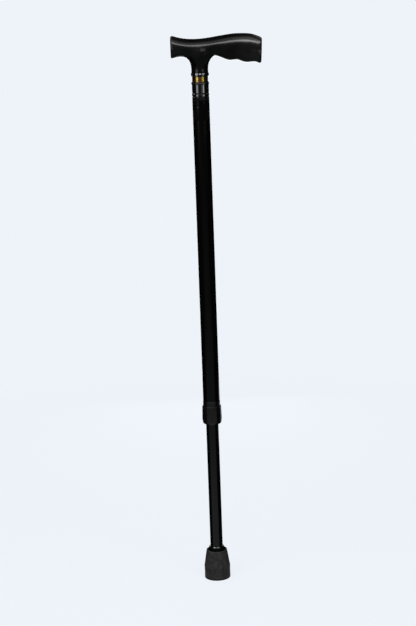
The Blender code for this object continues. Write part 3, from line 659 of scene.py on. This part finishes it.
def pointed(turn, height):
    """Lays a body made round Z along a radius of the shaft. A turn of 0 points along +Y."""
    return (
        Matrix.Translation((0.0, 0.0, height))
        @ Matrix.Rotation(turn, 4, "Z")
        @ Matrix.Rotation(-math.pi / 2, 4, "X")
    )


def settle(thing):
    """Turns an object's modifiers into its mesh."""
    bpy.context.view_layer.update()
    graph = bpy.context.evaluated_depsgraph_get()
    mesh = bpy.data.meshes.new_from_object(thing.evaluated_get(graph))
    thing.modifiers.clear()
    thing.data = mesh
    shade(mesh)


def hole_cutter(radius, chamfer, surface, height, turn=0.0):
    """A round cutter along a radius, with a chamfer where it leaves the surface."""
    rings = [
        (radius + chamfer + CUTTER_PROUD, surface + CUTTER_PROUD),
        (radius + chamfer, surface),
        (radius, surface - chamfer),
        (radius, surface / 2),
    ]
    cutter = ring_body("hole_cutter", rings, SMALL_STEPS, capped=True)
    cutter.matrix_world = pointed(turn, height)
    return cutter


def cut(thing, cutters):
    for cutter in cutters:
        modifier = thing.modifiers.new("cut", "BOOLEAN")
        modifier.object = cutter
    settle(thing)
    for cutter in cutters:
        bpy.data.objects.remove(cutter, do_unlink=True)


def dress(thing, node, material, replace=True):
    """Gives a piece its material and puts it on the body of the node that it stands for."""
    thing.data.materials.clear()
    thing.data.materials.append(material)
    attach(thing, BODY_OF[node])
    if replace:
        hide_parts(node)


# Shaft

def tube_rings(node):
    low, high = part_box(node)
    radius = high.x
    edge = TUBE_CHAMFER
    return [
        (radius - edge, high.z),
        (radius, high.z - edge),
        (radius, low.z + edge),
        (radius - edge, low.z),
        (radius - TUBE_WALL, low.z),
        (radius - TUBE_WALL, high.z),
    ]


def button_height():
    low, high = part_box("snap_button")
    return (low.z + high.z) / 2


def upper_tube(material):
    low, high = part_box("upper_tube")
    tube = ring_body("upper_shaft", tube_rings("upper_tube"))
    heights = [low.z + LOWEST_HOLE_HEIGHT + hole * HOLE_PITCH for hole in range(HOLE_COUNT)]
    cutters = [hole_cutter(HOLE_RADIUS, HOLE_CHAMFER, high.x, height) for height in heights]
    rivet_height = high.z - (RIVET_DROP - PLUG_GAP)
    cutters.append(hole_cutter(RIVET_HOLE_RADIUS, 0.0, high.x, rivet_height, math.pi + RIVET_TURN))
    cut(tube, cutters)
    dress(tube, "upper_tube", material)


def lower_tube(material):
    tube = ring_body("lower_shaft", tube_rings("lower_tube"))
    cut(tube, [hole_cutter(HOLE_RADIUS, 0.0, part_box("lower_tube")[1].x, button_height())])
    dress(tube, "lower_tube", material)


def snap_button(material):
    low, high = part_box("snap_button")
    flange = low.y + BUTTON_FLANGE_THICKNESS
    rings = arc(0.0, high.y - BUTTON_DOME, BUTTON_RADIUS, DOME_TOP, 0.0, steps=10, rise=BUTTON_DOME)
    rings += [(BUTTON_RADIUS, flange), (BUTTON_FLANGE_RADIUS, flange), (BUTTON_FLANGE_RADIUS, low.y)]
    pin = ring_body("button_pin", rings, SMALL_STEPS, capped=True)
    pin.matrix_world = pointed(0.0, button_height())
    dress(pin, "snap_button", material)


def button_spring(material):
    """The hairpin of flat strip behind the button, which flattens when the button goes in."""
    low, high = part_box("button_spring")
    half = SPRING_THICKNESS / 2
    near, far = high.y - half, low.y + half
    bend = (near - far) / 2
    centre = low.z + half + bend
    path = [(near, high.z)]
    for i in range(SPRING_STEPS + 1):
        angle = math.pi * i / SPRING_STEPS
        path.append(((near + far) / 2 + bend * math.cos(angle), centre - bend * math.sin(angle)))
    path.append((far, high.z))
    strip = make("hairpin_spring", ribbon([[(x, y, z) for x in (low.x, high.x)] for y, z in path]))
    wall = strip.modifiers.new("thickness", "SOLIDIFY")
    wall.thickness = SPRING_THICKNESS
    wall.offset = 0.0
    wall.use_even_offset = True
    settle(strip)
    dress(strip, "button_spring", material)
    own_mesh(strip)


# Collar

def bead_rings(base, sleeve, crest):
    """The beads above the collar's base, with a round groove above each, from the sleeve down."""
    floor = crest - BEAD_DEPTH
    rings = []
    for bead in reversed(range(BEAD_COUNT)):
        middle = base + (bead + 1) * BEAD_PITCH
        for i in range(GROOVE_STEPS + 1):
            share = 2.0 * i / GROOVE_STEPS - 1.0
            beside = sleeve if bead == BEAD_COUNT - 1 and share < 0.0 else crest
            dip = (beside - floor) * (0.5 + 0.5 * math.cos(math.pi * share))
            rings.append((beside - dip, middle - share * GROOVE_HALF))
    foot = floor - LOWER_BEAD_TAPER
    return rings + arc(foot, base + GROOVE_HALF, BEAD_DEPTH, 0.0, -90.0, steps=8, rise=GROOVE_HALF)


def collar_body(material):
    """The gloss sleeve with its flange and beads, its spigot in the band and its plug in the tube."""
    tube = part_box("upper_tube")[1]
    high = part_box("collar_sleeve")[1]
    base = tube.z + PLUG_GAP
    flange_low = base + SLEEVE_LENGTH
    flange_top = flange_low + FLANGE_THICKNESS
    plug = tube.x - TUBE_WALL - PLUG_GAP
    plug_end = base - COLLAR_PLUG_LENGTH
    sleeve = tube.x - SLEEVE_STEP
    across, down = FLANGE_BEVEL
    rings = [
        (STUD_BORE, high.z),
        (SPIGOT_RADIUS, high.z),
        (SPIGOT_RADIUS, flange_top),
        (high.x - across, flange_top),
        (high.x, flange_top - down),
        *round_foot(high.x, flange_low, FLANGE_ROUNDING),
        (sleeve, flange_low),
        *bead_rings(base, sleeve, tube.x + BEAD_OVERHANG),
        (plug, base),
        (plug, plug_end),
        (STUD_BORE, plug_end),
    ]
    collar = ring_body("collar_body", rings)
    dress(collar, "collar_sleeve", material)


def gold_ferrule(material):
    low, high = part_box("gold_band")
    inner = high.x - BAND_WALL
    edge = BAND_ROUNDING
    rings = [
        (inner, high.z),
        *arc(high.x - edge, high.z - edge, edge, 90.0, 0.0, steps=5),
        *round_foot(high.x, low.z, BAND_FOOT_ROUNDING, steps=7),
        (inner, low.z),
    ]
    band = ring_body("gold_ferrule", rings)
    dress(band, "gold_band", material)


def top_ring(material):
    low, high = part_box("collar_top_ring")
    rings = [
        (STUD_BORE, high.z),
        *bevelled(high.x, high.z, RING_BEVEL),
        *round_foot(high.x, low.z, FLANGE_ROUNDING, steps=5),
        (STUD_BORE, low.z),
    ]
    ring = ring_body("neck_ring", rings)
    dress(ring, "collar_top_ring", material)


def rivet(material):
    low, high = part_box("collar_rivet")
    head_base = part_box("upper_tube")[1].x + PLUG_GAP
    shank_end = head_base - RIVET_SHANK_LENGTH
    rings = arc(0.0, head_base, (high.z - low.z) / 2, DOME_TOP, 0.0, steps=8, rise=RIVET_HEAD_HEIGHT)
    rings += [(RIVET_SHANK_RADIUS, head_base), (RIVET_SHANK_RADIUS, shank_end)]
    piece = ring_body("rivet_button", rings, SMALL_STEPS, capped=True)
    piece.matrix_world = pointed(math.pi + RIVET_TURN, (low.z + high.z) / 2)
    dress(piece, "collar_rivet", material)


# Bush and nut

def thread(height):
    """Radius of the thread at a height, as a function of the angle."""
    def radius(angle):
        turn = (height / THREAD_PITCH - angle / math.tau) % 1.0
        share = THREAD_STEEPNESS * (1.0 - abs(2.0 * turn - 1.0))
        return THREAD_ROOT + (THREAD_CREST - THREAD_ROOT) * min(1.0, share)
    return radius


def threaded_bush(material):
    """The lip under the upper tube, its plug, and the threaded spigot that the nut climbs."""
    low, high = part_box("threaded_bush")
    tube_low, tube_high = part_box("upper_tube")
    lip_top = tube_low.z - PLUG_GAP
    lip_low = lip_top - LIP_HEIGHT
    plug = tube_high.x - TUBE_WALL - PLUG_GAP
    edge = 2 * TUBE_CHAMFER
    rings = [(RUNNING_BORE, high.z), (plug - edge, high.z), (plug, high.z - edge), (plug, lip_top)]
    rings += bevelled(high.x, lip_top, LIP_BEVEL)
    rings += [(high.x, lip_low), (THREAD_CREST, lip_low)]
    thread_top = lip_low - THREAD_TOP_GAP
    rows = int((thread_top - low.z) / (THREAD_PITCH / THREAD_ROWS))
    for row in range(rows + 1):
        height = thread_top + (low.z - thread_top) * row / rows
        rings.append((thread(height), height))
    rings.append((RUNNING_BORE, low.z))
    bush = ring_body("bush_with_thread", rings)
    dress(bush, "threaded_bush", material)


def nut_angles():
    middles = [(side + 0.5) * 360.0 / NUT_SIDES for side in range(NUT_SIDES)]
    return [math.radians(middle + step) for middle in middles for step in NUT_STEPS]


def nut_side(corner, limit):
    """Radius of the nut's flats as a function of the angle, with the corners cut round at a limit."""
    half = math.pi / NUT_SIDES
    flat = corner * math.cos(half)
    return lambda angle: min(limit, flat / math.cos(angle % (2 * half) - half))


def lock_nut(material):
    low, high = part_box("lock_nut")
    ring = NUT_CORNER - NUT_RING_STEP
    trimmed = NUT_CORNER - NUT_TRIM
    shoulder = trimmed - NUT_TAPER - NUT_CHAMFER
    fall_across, fall = NUT_TOP_FALL
    rings = [(NUT_BORE, high.z), (shoulder - fall_across, high.z), (shoulder, high.z - fall)]
    for share in NUT_CHAMFER_SHARES:
        side = nut_side(NUT_CORNER - NUT_TAPER, shoulder + share * NUT_CHAMFER)
        rings.append((side, high.z - fall - share * NUT_CHAMFER))
    skirt = low.z + NUT_SKIRT
    ledge_out, ledge_up = NUT_LEDGE
    rings += [
        (nut_side(NUT_CORNER, trimmed), skirt + ledge_up),
        (nut_side(NUT_CORNER, ring + ledge_out), skirt),
        (ring, skirt - NUT_LEDGE_DROP),
    ]
    rings += [(ring - inward * NUT_BEVEL, low.z + up * NUT_BEVEL) for inward, up in NUT_FOOT]
    seat = low.z + NUT_FLOOR
    rings += [(RUNNING_BORE, low.z), (RUNNING_BORE, seat), (NUT_BORE, seat + NUT_SEAT_RISE)]
    nut = ring_body("grip_nut", rings, angles=nut_angles())
    dress(nut, "lock_nut", material)


# Rubber tip

def neck_and_rim_rings(bore, top):
    """The tip's neck round the tube, the moat round the neck, and the rim round the moat."""
    neck = bore + TIP_NECK_WALL
    fillet = TIP_MOAT_FILLET
    floor = TIP_RIM_HEIGHT - TIP_MOAT_DEPTH
    crest = neck + TIP_MOAT_WIDTH
    middle = (crest + TIP_RIM_RADIUS) / 2
    crest_base = TIP_RIM_HEIGHT - TIP_CREST_RISE
    rim_base = TIP_RIM_HEIGHT - TIP_RIM_ROUNDING
    return [
        *bevelled(neck, top, TIP_BEVEL),
        *arc(neck + fillet, floor + fillet, fillet, 180.0, 270.0),
        *arc(middle, crest_base, middle - crest, 150.0, 100.0, steps=3, rise=TIP_CREST_RISE),
        *arc(middle, rim_base, TIP_RIM_RADIUS - middle, 90.0, 0.0, steps=8, rise=TIP_RIM_ROUNDING),
    ]


def flare_rings(flare):
    """The tip's cone, the edge of its flare and the waist above its sole."""
    cone = TIP_RIM_HEIGHT - TIP_FLARE_HEIGHT
    spread = flare - TIP_RIM_RADIUS
    rings = [(TIP_RIM_RADIUS + out * spread, TIP_FLARE_HEIGHT + up * cone) for out, up in TIP_CONE]
    ease_in, ease_up = TIP_FLARE_EASE
    return rings + [
        (flare - ease_in, TIP_FLARE_HEIGHT + ease_up),
        (flare, TIP_FLARE_HEIGHT),
        (flare, TIP_FLARE_HEIGHT - TIP_FLARE_LAND),
        (TIP_BASE_RADIUS, TIP_FLARE_HEIGHT - TIP_FLARE_FOOT),
        (TIP_BASE_RADIUS - TIP_WAIST_STEP, TIP_WAIST_HEIGHT),
        (TIP_BASE_RADIUS, 2 * SOLE_CORNER),
    ]


def tread_rings():
    """The sole's round corner and its rings of tread, inwards."""
    rings = round_foot(TIP_BASE_RADIUS, 0.0, SOLE_CORNER)
    edge = TIP_BASE_RADIUS - SOLE_CORNER
    step = edge / (TREAD_RINGS + 0.5)
    for ring in range(TREAD_RINGS):
        outside = edge - (ring + 0.5) * step
        inside = outside - TREAD_GROOVE_SHARE * step
        rings += [(outside, 0.0), (outside - TREAD_WALL_DRAFT, TREAD_DEPTH)]
        rings += [(inside + TREAD_WALL_DRAFT, TREAD_DEPTH), (inside, 0.0)]
    return rings


def rubber_tip(material):
    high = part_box("rubber_tip")[1]
    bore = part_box("lower_tube")[1].x + TIP_BORE_GAP
    top = high.z + TIP_NECK_RISE
    rings = [
        (SOLE_MIDDLE, SOLE_THICKNESS),
        (bore, SOLE_THICKNESS),
        (bore, top),
        *neck_and_rim_rings(bore, top),
        *flare_rings(high.x),
        *tread_rings(),
        (SOLE_MIDDLE, 0.0),
    ]
    tip = ring_body("ground_tip", rings, capped=True)
    dress(tip, "rubber_tip", material)


# Handle

def through(wanted, closed=False):
    """Cage points whose smooth surface passes through the wanted points."""
    wanted = [Vector(point) for point in wanted]
    cage = [point.copy() for point in wanted]
    count = len(wanted)
    for _ in range(SETTLING_PASSES):
        settled = []
        for i, point in enumerate(cage):
            if not closed and i in (0, count - 1):
                settled.append(point)
                continue
            reached = (cage[i - 1] + 4 * point + cage[(i + 1) % count]) / 6
            settled.append(point + wanted[i] - reached)
        cage = settled
    return cage


def handle_section(share, crown, underside, width, flank):
    """Eight points round one section, from the crown down the +Y side and back up the -Y side."""
    x = share * (NOSE_REACH if share < 0 else GRIP_REACH)
    top = crown * HANDLE_HEIGHT
    bottom = underside * HANDLE_HEIGHT
    half = width * GRIP_WIDTH / 2
    low = flank * GRIP_WIDTH / 2
    side = top - SIDE_HEIGHT * (top - bottom)
    shoulder = top - CROWN_DROP * half
    heel = bottom + UNDERSIDE_RISE * half
    points = [
        (0.0, top),
        (SHOULDER_WIDTH * half, shoulder),
        (half, side),
        (low, heel),
        (0.0, bottom),
        (-low, heel),
        (-half, side),
        (-SHOULDER_WIDTH * half, shoulder),
    ]
    lean = math.tan(GRIP_END_LEAN) * max(share, 0.0) ** GRIP_LEAN_RAMP
    return [(x + lean * (z - (top + bottom) / 2), y, z) for y, z in points]


def neck_ring(radius, height):
    """A ring of the neck's cage, its points facing those round the opening it hangs from."""
    reach = radius * (6 / (4 + 2 * math.cos(math.tau / SECTION_POINTS)))
    angles = [math.pi + math.tau * i / SECTION_POINTS for i in range(SECTION_POINTS)]
    return [(reach * math.cos(angle), reach * math.sin(angle), height) for angle in angles]


def sharpen(cage, ring, amount):
    """Creases the edges round a ring, so that they stay sharper on the smooth surface."""
    crease = cage.edges.layers.float["crease_edge"]
    for k in range(SECTION_POINTS):
        cage.edges.get((ring[k], ring[(k + 1) % SECTION_POINTS]))[crease] = amount


def add_neck(cage, sections):
    """The neck, from an opening in the handle's underside down to its flat end."""
    # point 4 of a section is its bottom, between the heels 3 and 5
    before, middle, after = (sections[NECK_SECTION + step] for step in (-1, 0, 1))
    row = [before[4], before[5], middle[5], after[5], after[4], after[3], middle[3], before[3]]
    cage.verts.remove(middle[4])
    waist = NECK_RADIUS - NECK_WAIST
    levels = ((waist + NECK_ROOT_FLARE, NECK_ROOT_HEIGHT), (waist, NECK_WAIST_HEIGHT), (NECK_RADIUS, 0.0))
    for radius, height in levels:
        ring = [cage.verts.new(point) for point in neck_ring(radius, height)]
        bridge(cage, ring, row)
        row = ring
    sharpen(cage, row, 1.0)
    cage.faces.new(row)


def handle_cage():
    """The coarse cage of the nose, saddle, grip and neck."""
    rings = [through(handle_section(*row), closed=True) for row in HANDLE_SECTIONS]
    columns = [through([ring[k] for ring in rings]) for k in range(SECTION_POINTS)]
    cage = bmesh.new()
    cage.edges.layers.float.new("crease_edge")
    sections = [[cage.verts.new(column[i]) for column in columns] for i in range(len(rings))]
    for i, (here, there) in enumerate(zip(sections, sections[1:])):
        for k in range(SECTION_POINTS):
            if k in (3, 4) and i in (NECK_SECTION - 1, NECK_SECTION):
                continue
            after = (k + 1) % SECTION_POINTS
            cage.faces.new((here[k], here[after], there[after], there[k]))
    for end in (sections[0], sections[-1]):
        sharpen(cage, end, END_CREASE)
    cage.faces.new(list(reversed(sections[0])))
    cage.faces.new(sections[-1])
    add_neck(cage, sections)
    return cage


def handle_shell(material):
    handle = make("handle_shell", handle_cage())
    surface = handle.modifiers.new("surface", "SUBSURF")
    surface.levels = SURFACE_LEVELS
    settle(handle)
    # a finer surface than the solid's swells past it by a hair
    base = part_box("handle")[0].z
    handle.data.transform(Matrix.Translation((0.0, 0.0, base)) @ Matrix.Scale(FINE_SCALE, 4))
    dress(handle, "handle", material)
    return handle


def pad_outline():
    """Points round the pad, a rectangle with round corners, from its centre."""
    half_width = PAD_SIZE[0] / 2 - PAD_CORNER
    half_height = PAD_SIZE[1] / 2 - PAD_CORNER
    points = []
    for corner, (side, up) in enumerate(((1, 1), (-1, 1), (-1, -1), (1, -1))):
        for i in range(PAD_CORNER_STEPS + 1):
            angle = math.pi / 2 * (corner + i / PAD_CORNER_STEPS)
            x = side * half_width + PAD_CORNER * math.cos(angle)
            z = up * half_height + PAD_CORNER * math.sin(angle)
            points.append((x, z))
    return points


def handle_pad(handle, material):
    """A low bare pad that follows the handle's front surface."""
    tree = BVHTree.FromPolygons(
        [vertex.co.copy() for vertex in handle.data.vertices],
        [tuple(polygon.vertices) for polygon in handle.data.polygons],
    )
    centre_x = PAD_CENTRE[0]
    centre_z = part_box("handle")[0].z + PAD_CENTRE[1]
    shape = bmesh.new()

    def lifted(x, z, proud):
        start = Vector((centre_x + x, -PAD_CAST_DISTANCE, centre_z + z))
        hit, normal, _, _ = tree.ray_cast(start, Vector((0.0, 1.0, 0.0)))
        return shape.verts.new(hit + normal * proud)

    outline = pad_outline()
    rows = [[lifted(share * x, share * z, proud) for x, z in outline] for share, proud in PAD_LEVELS]
    for upper, lower in zip(rows, rows[1:]):
        bridge(shape, lower, upper)
    middle = lifted(0.0, 0.0, PAD_RISE)
    for here, after in zip(rows[-1], [*rows[-1][1:], rows[-1][0]]):
        shape.faces.new((here, after, middle))
    shape.faces.new(rows[0])
    pad = make("handle_pad", shape)
    dress(pad, "handle", material, replace=False)


# Studio

def shown(tree):
    """1 for what the camera, reflections and clear pieces see, and 0 for the light on the cane."""
    path = tree.add("ShaderNodeLightPath").outputs
    seen = tree.math("MAXIMUM", path["Is Camera Ray"], path["Is Glossy Ray"])
    return tree.math("MAXIMUM", seen, path["Is Transmission Ray"])


def make_world():
    """A pale surround for the camera, reflections and clear pieces, and a weaker fill for the rest."""
    world = bpy.data.worlds.new("studio")
    bpy.context.scene.world = world
    world.use_nodes = True
    # the screens cast no shadow, so the surround isn't used as a lamp that shines through them
    world.cycles.sampling_method = "NONE"
    tree = Nodes(world.node_tree)
    background = tree.nodes["Background"].inputs
    tree.feed(background["Color"], (*PALE, 1.0))
    tree.feed(background["Strength"], tree.ranged(shown(tree), FILL, 1.0))


def empty_material(name):
    """A material that isn't used as a lamp, its node tree and its one socket for a shader."""
    material = bpy.data.materials.new(name)
    material.use_nodes = True
    material.cycles.emission_sampling = "NONE"
    tree = Nodes(material.node_tree)
    tree.nodes.clear()
    return material, tree, tree.add("ShaderNodeOutputMaterial").inputs["Surface"]


def pale_glow(tree, strength):
    return tree.add("ShaderNodeEmission", {"Color": (*PALE, 1.0), "Strength": strength}).outputs[0]


def floor_material():
    """The pale of the surround. Near the cane the lamps give part of it, so that a shadow shows."""
    material, tree, output = empty_material("pale_floor")
    length = tree.add("ShaderNodeVectorMath", {0: tree.place()}, operation="LENGTH").outputs["Value"]
    lamp_share = tree.ranged(length, SHADOW_SHARE, 0.0, SHADOW_CORE, SHADOW_RADIUS)
    steady = tree.math("SUBTRACT", 1.0, lamp_share)
    glow = pale_glow(tree, tree.math("MULTIPLY", steady, tree.ranged(shown(tree), FILL, 1.0)))
    tint = tree.add("ShaderNodeVectorMath", {0: PALE, "Scale": lamp_share}, operation="SCALE").outputs[0]
    lit = tree.add("ShaderNodeBsdfDiffuse", {"Color": tint}).outputs[0]
    both = tree.add("ShaderNodeAddShader", {0: glow, 1: lit}).outputs[0]
    # seen from below, the floor lets the sole show
    behind = tree.add("ShaderNodeNewGeometry").outputs["Backfacing"]
    clear = tree.add("ShaderNodeBsdfTransparent").outputs[0]
    tree.feed(output, tree.add("ShaderNodeMixShader", {"Fac": behind, 1: both, 2: clear}).outputs[0])
    return material


def make_floor():
    shape = bmesh.new()
    bmesh.ops.create_circle(shape, cap_ends=True, segments=FINE_STEPS, radius=FLOOR_RADIUS)
    floor = make("studio_floor", shape)
    if floor.data.polygons[0].normal.z < 0:
        floor.data.flip_normals()
    floor.data.materials.append(floor_material())
    # the tip stands on the floor at every height
    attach(floor, "lower")


def dark_cloth():
    finish = Finish("dark_cloth", specular=0.0)
    finish.feed(finish.shader["Base Color"], (*CLOTH, 1.0))
    finish.rough(1.0)
    return finish.material


def painted_floor_glow():
    """A screen that glows with painted light, as though the floor lit it: palest at its foot, and darker
    with height.
    """
    material, tree, output = empty_material("painted_floor_glow")
    strength = tree.ranged(tree.axis("Z"), GLOW_FOOT, GLOW_TOP, 0.0, GLOW_HEIGHT)
    tree.feed(output, pale_glow(tree, strength))
    return material


def even_glow_card(name, strength):
    # an even glow of painted light, for cards and flags that are no lamps
    material, tree, output = empty_material(name)
    tree.feed(output, pale_glow(tree, strength))
    return material


def for_reflections_only(thing, material):
    """Screens are out of the picture and cast no shadow: only polished surfaces see them."""
    thing.data.materials.append(material)
    thing.visible_camera = False
    thing.visible_diffuse = False
    thing.visible_shadow = False
    thing.visible_transmission = False


def round_cane(azimuth, radius, height):
    """A place in the studio, at an azimuth and a distance from the shaft."""
    angle = math.radians(azimuth)
    return (radius * math.sin(angle), -radius * math.cos(angle), height)


def screen(name, span, profile, material):
    """A screen round the cane from one azimuth to another, with a profile of (radius, height)."""
    start, end = span
    steps = round((end - start) / SCREEN_STEP)
    azimuths = [start + (end - start) * i / steps for i in range(steps + 1)]
    rows = [[round_cane(azimuth, radius, height) for radius, height in profile] for azimuth in azimuths]
    for_reflections_only(make(name, ribbon(rows)), material)


def make_screens():
    """A dark tent, dark sides that are open at the back, and a front that glows with painted light, as
    though the floor lit it.
    """
    cloth = dark_cloth()
    glow = painted_floor_glow()

    def wall(name, span, heights, material):
        screen(name, span, [(SCREEN_RADIUS, height) for height in heights], material)

    tent = bmesh.new()
    bmesh.ops.create_uvsphere(tent, u_segments=TENT_STEPS, v_segments=TENT_STEPS // 2, radius=TENT_RADIUS)
    for_reflections_only(make("dark_tent", tent), cloth)
    side = [(SIDE_FOOT_RADIUS, 0.0), (SCREEN_RADIUS, SIDE_WALL_HEIGHT), (SCREEN_RADIUS, SIDE_TOP)]
    screen("right_side_screen", (LOW_FRONT[1], BACK_OPENING[0]), side, cloth)
    screen("left_side_screen", (BACK_OPENING[1], LOW_FRONT[0] + 360.0), side, cloth)
    wall("low_front_screen", LOW_FRONT, LOW_HEIGHTS, glow)
    wall("front_screen", FRONT, FRONT_HEIGHTS, glow)
    wall("middle_screen", MIDDLE_FRONT, MIDDLE_HEIGHTS, glow)
    # a white card that glows with painted light just inside the right side screen, for a painted
    # reflection on the nut's far flat
    slope = (SCREEN_RADIUS - SIDE_FOOT_RADIUS) / SIDE_WALL_HEIGHT
    card = [(SIDE_FOOT_RADIUS + slope * height - CARD_GAP, height) for height in CARD_HEIGHTS]
    screen("glowing_white_card", CARD, card, even_glow_card("glowing_white_card", 1.0))
    wall("left_wing", (LOW_FRONT[0], FRONT[0]), FRONT_HEIGHTS, cloth)
    wall("right_wing", (FRONT[1], LOW_FRONT[1]), FRONT_HEIGHTS, cloth)


def make_flags():
    """Grey flags that glow faintly with painted light, and keep the lit floor out of the handle's
    underside.
    """
    grey = even_glow_card("glowing_grey_flag", FLAG_GLOW)
    for xs, ys in FLAGS:
        flag = ribbon([[(x, y, FLAG_HEIGHT) for x in xs] for y in ys])
        for_reflections_only(make("glowing_grey_flag", flag), grey)


def soft_lamp(name, place, target, size, radiance, colour):
    """A rectangular soft lamp of an even radiance, facing its target. The camera doesn't see it."""
    lamp = bpy.data.lights.new(name, "AREA")
    lamp.shape = "RECTANGLE"
    lamp.size, lamp.size_y = size
    lamp.energy = radiance * math.pi * size[0] * size[1]
    lamp.color = colour
    thing = bpy.data.objects.new(name, lamp)
    bpy.context.scene.collection.objects.link(thing)
    thing.location = place
    thing.rotation_euler = (Vector(target) - Vector(place)).to_track_quat("-Z", "Y").to_euler()
    thing.visible_camera = False


def make_lamps():
    for name, (azimuth, width, (low, high), radiance, colour) in UPRIGHT_LAMPS.items():
        middle = (low + high) / 2
        place = round_cane(azimuth, STRIP_DISTANCE, middle)
        soft_lamp(name, place, (0.0, 0.0, middle), (width, high - low), radiance, colour)
    for name, settings in OVERHEAD_LAMPS.items():
        soft_lamp(name, *settings)


def make_camera():
    data = bpy.data.cameras.new("photo_camera")
    # in an upright picture, the sensor's width lies along the height
    data.sensor_width = SENSOR_HEIGHT_MM
    data.lens = SENSOR_HEIGHT_MM * FOCAL_PIXELS / PHOTO_HEIGHT
    data.clip_start, data.clip_end = CAMERA_CLIP
    camera = bpy.data.objects.new("photo_camera", data)
    bpy.context.scene.collection.objects.link(camera)
    camera.matrix_world = (
        Matrix.Translation(CAMERA_PLACE)
        @ Matrix.Rotation(CAMERA_PITCH, 4, "X")
        @ Matrix.Rotation(CAMERA_ROLL, 4, "Z")
    )
    bpy.context.scene.camera = camera


def main():
    bpy.context.scene.view_settings.view_transform = "Standard"
    steel = plated_steel()
    nylon = natural_nylon()
    gloss = gloss_plastic("gloss_collar_plastic", 0.9, 0.05, 0.10)
    satin = nut_plastic()
    for node in ("handle_stud", "stud_washer", "stud_nut", "tip_washer"):
        frame["nodes"][node].material_slots[0].material = steel
    for node in ("guide_bush", "split_collet"):
        frame["nodes"][node].material_slots[0].material = nylon
    handle = handle_shell(grip_plastic())
    handle_pad(handle, pad_plastic())
    top_ring(gloss)
    gold_ferrule(polished_gold())
    collar_body(gloss)
    rivet(gloss_plastic("dulled_rivet_plastic", 0.25, 0.24, 0.32))
    upper_tube(anodised_tube())
    threaded_bush(satin)
    lock_nut(satin)
    lower_tube(rubbed_tube())
    snap_button(steel)
    button_spring(steel)
    rubber_tip(moulded_rubber())
    make_world()
    make_floor()
    make_screens()
    make_flags()
    make_lamps()
    make_camera()


main()
